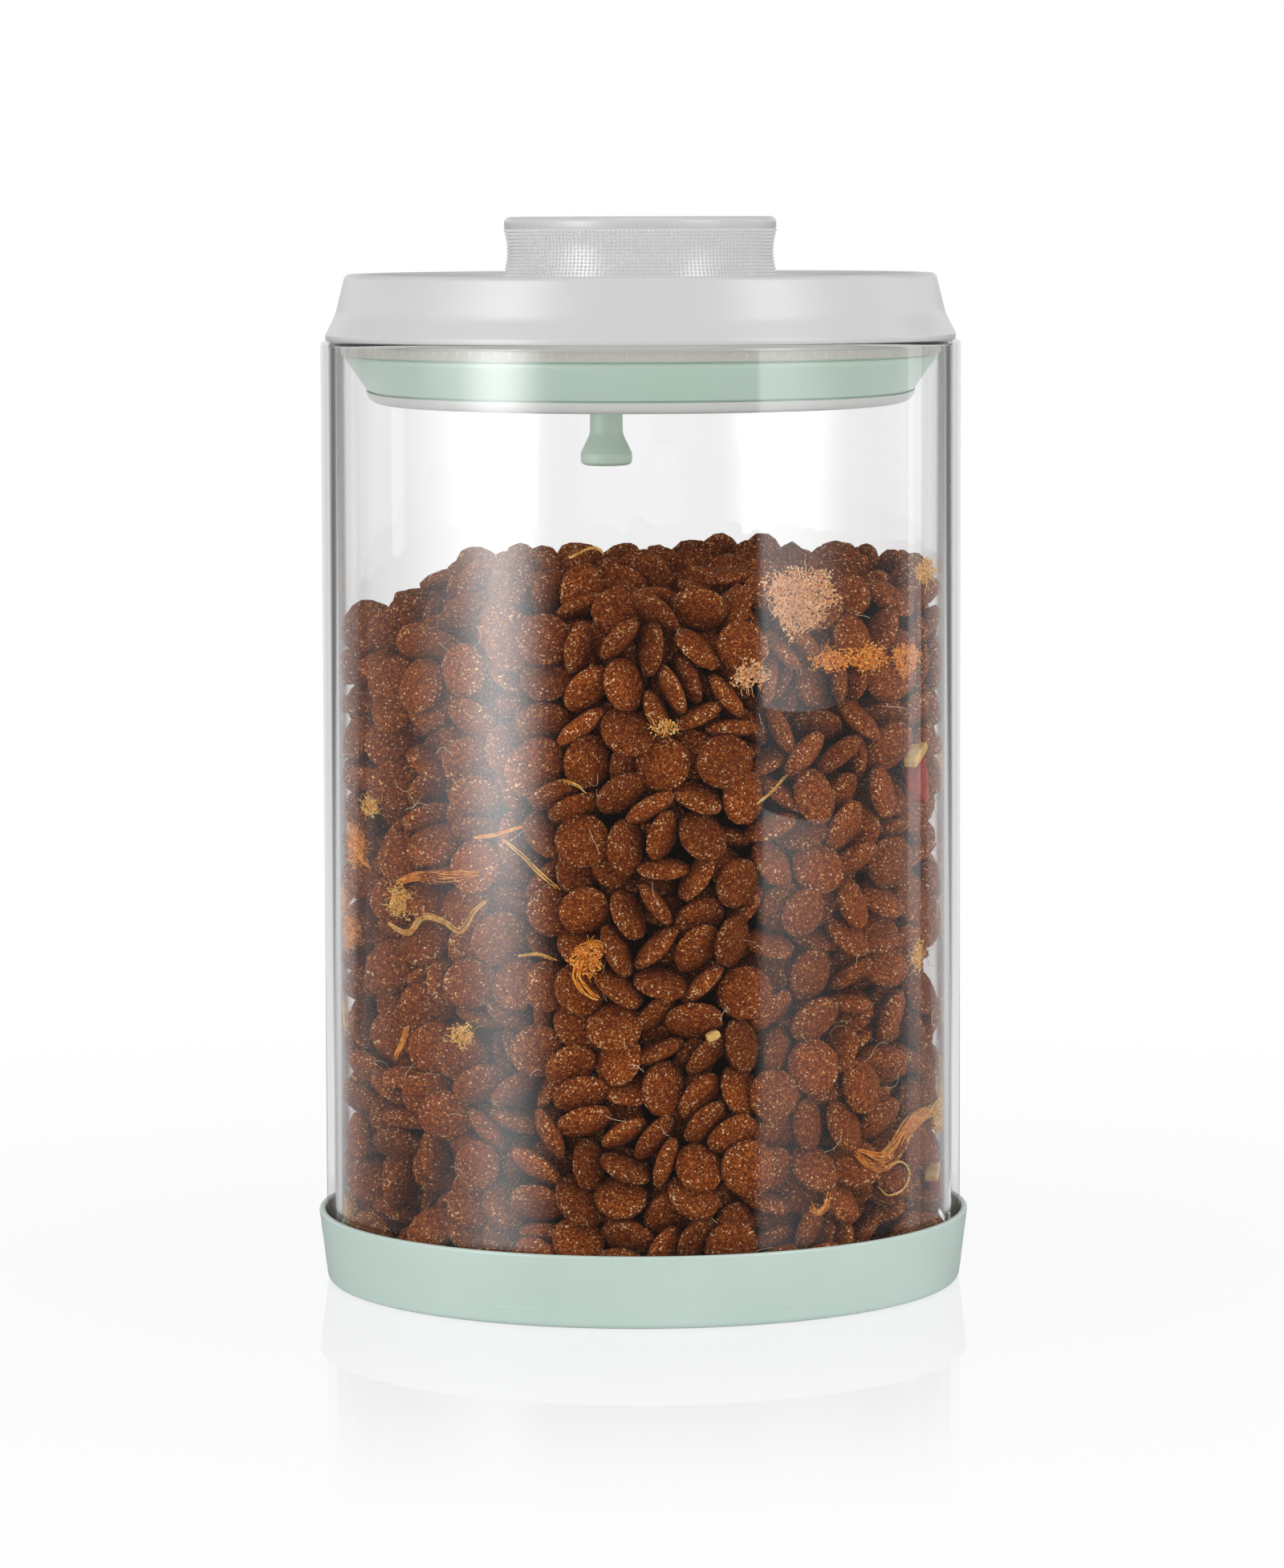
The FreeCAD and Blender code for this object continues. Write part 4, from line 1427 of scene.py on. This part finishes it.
def makeShreds(tree, random):
    for tint, rows in shreds.items():
        lines = []
        for width, spots in rows:
            lines += shredFibres(width, spots, random)
        finish = bitCrust("egg_floss_shred_" + tint, bitTints[tint], 0.6, 0.9)
        strandPiece("floss_shreds_" + tint, lines, floss["fibre"], finish, tree)


def makeFuzz(tree, random):
    # the short curled fibres of the floss, all round and over each patch of crumbs
    for tint, patches in crumbs.items():
        lines = []
        for azimuth, height, wide, tall in patches:
            for _ in range(int(floss["fuzzPerArea"] * wide * tall)):
                turn, share = random.uniform(0, 2 * math.pi), math.sqrt(random.uniform(0, 1))
                side = sideways(azimuth, wide / 2 * share * math.cos(turn))
                up = height + tall / 2 * share * math.sin(turn)
                start = nearGlass(side, up, random.uniform(*floss["fuzzInset"]))
                beside = math.radians(side)
                spin = random.uniform(0, 2 * math.pi)
                level = math.cos(spin)
                heading = np.array([math.cos(beside) * level, math.sin(beside) * level, math.sin(spin)])
                points, curl = random.integers(*floss["fuzzPoints"]), random.uniform(*floss["fuzzCurl"])
                lines.append(inJar(strand(start, heading, points, floss["fuzzStep"], curl, random)))
        finish = bitCrust("egg_floss_fuzz_" + tint, bitTints[tint], 0.6, 0.9)
        strandPiece("floss_fuzz_" + tint, lines, floss["fuzz"], finish, tree)


def makeHairs(tree, random):
    hairs = []
    for _ in range(floss["hairs"]):
        azimuth, share = random.uniform(-180, 180), random.uniform(0, 1)
        start = nearGlass(azimuth, 0.0, random.uniform(*floss["hairInset"]))
        span = heapTop(start[0], start[1]) - floss["hairBelowTop"] - floss["hairLowest"]
        start[2] = floss["hairLowest"] + share * span
        points, heading = random.integers(*floss["hairPoints"]), random.normal(size=3)
        curl = random.uniform(*floss["hairCurl"])
        hairs.append(inJar(strand(start, heading, points, floss["hairStep"], curl, random)))
    straw = bitCrust("dried_straw_hair", ["#D2AF86", "#E6CFAB", "#F3E6CD"], 0.55, 2.0)
    strandPiece("straw_hairs", hairs, floss["hair"], straw, tree)


def chunkPiece(number, azimuth, height, wide, tall, lean, outline, finish):
    # an outline cut from a thick peel: two rings of points, softened with a bevel
    middle = nearGlass(azimuth, height, floss["chunkInset"] + floss["chunkDeep"] / 2)
    turn, tip = math.radians(azimuth), math.radians(lean)
    right = np.array([math.cos(turn), math.sin(turn), 0.0])
    back = np.array([-math.sin(turn), math.cos(turn), 0.0])
    up = np.array([0.0, 0.0, 1.0])
    corners = []
    for depth in (-0.5, 0.5):
        for x, y in outlines[outline]:
            a, b = x * wide, y * tall
            across, rise = a * math.cos(tip) - b * math.sin(tip), a * math.sin(tip) + b * math.cos(tip)
            corners.append(mm(middle + right * across + up * rise + back * depth * floss["chunkDeep"]))
    count = len(outlines[outline])
    faces = [tuple(range(count)), tuple(range(2 * count - 1, count - 1, -1))]
    faces += [(i, count + i, count + (i + 1) % count, (i + 1) % count) for i in range(count)]
    piece = meshObject(f"dried_peel_{number}", corners, faces, finish)
    form = bmesh.new()
    form.from_mesh(piece.data)
    bmesh.ops.recalc_face_normals(form, faces=form.faces)
    bmesh.ops.bevel(form, geom=form.edges, offset=mm(floss["chunkRound"]), segments=3, profile=0.6,
                    affect="EDGES")
    form.to_mesh(piece.data)
    form.free()
    piece.data.shade_smooth()
    place(piece, "jar", "kibble")


def makeBits(tree):
    random = np.random.default_rng(floss["seed"])
    makeCrumbs(tree, random)
    strands = strandTree()
    makeShreds(strands, random)
    makeFuzz(strands, random)
    makeHairs(strands, random)
    finishes = {
        "red": bitCrust("dried_peel_red", ["#8E2214", "#A8311C", "#BC4A2C"], 0.32, 2.5),
        "rind": bitCrust("dried_peel_rind", ["#CF9A45", "#DDB062", "#E9C684"], 0.5, 1.6),
    }
    for number, (*shape, tint) in enumerate(chunks, start=1):
        chunkPiece(number, *shape, finishes[tint])


makeTray()
makeGlass()
makeCover()
makeButton()
print("main shells ready")
makeStuds()
makeSeal()
makePlate()
makePlug()
makeHardware()
makeSpring()
print("lid parts ready")
foodTree = piecesTree()
makeKibble(foodTree)
makeBits(foodTree)
print("food ready")
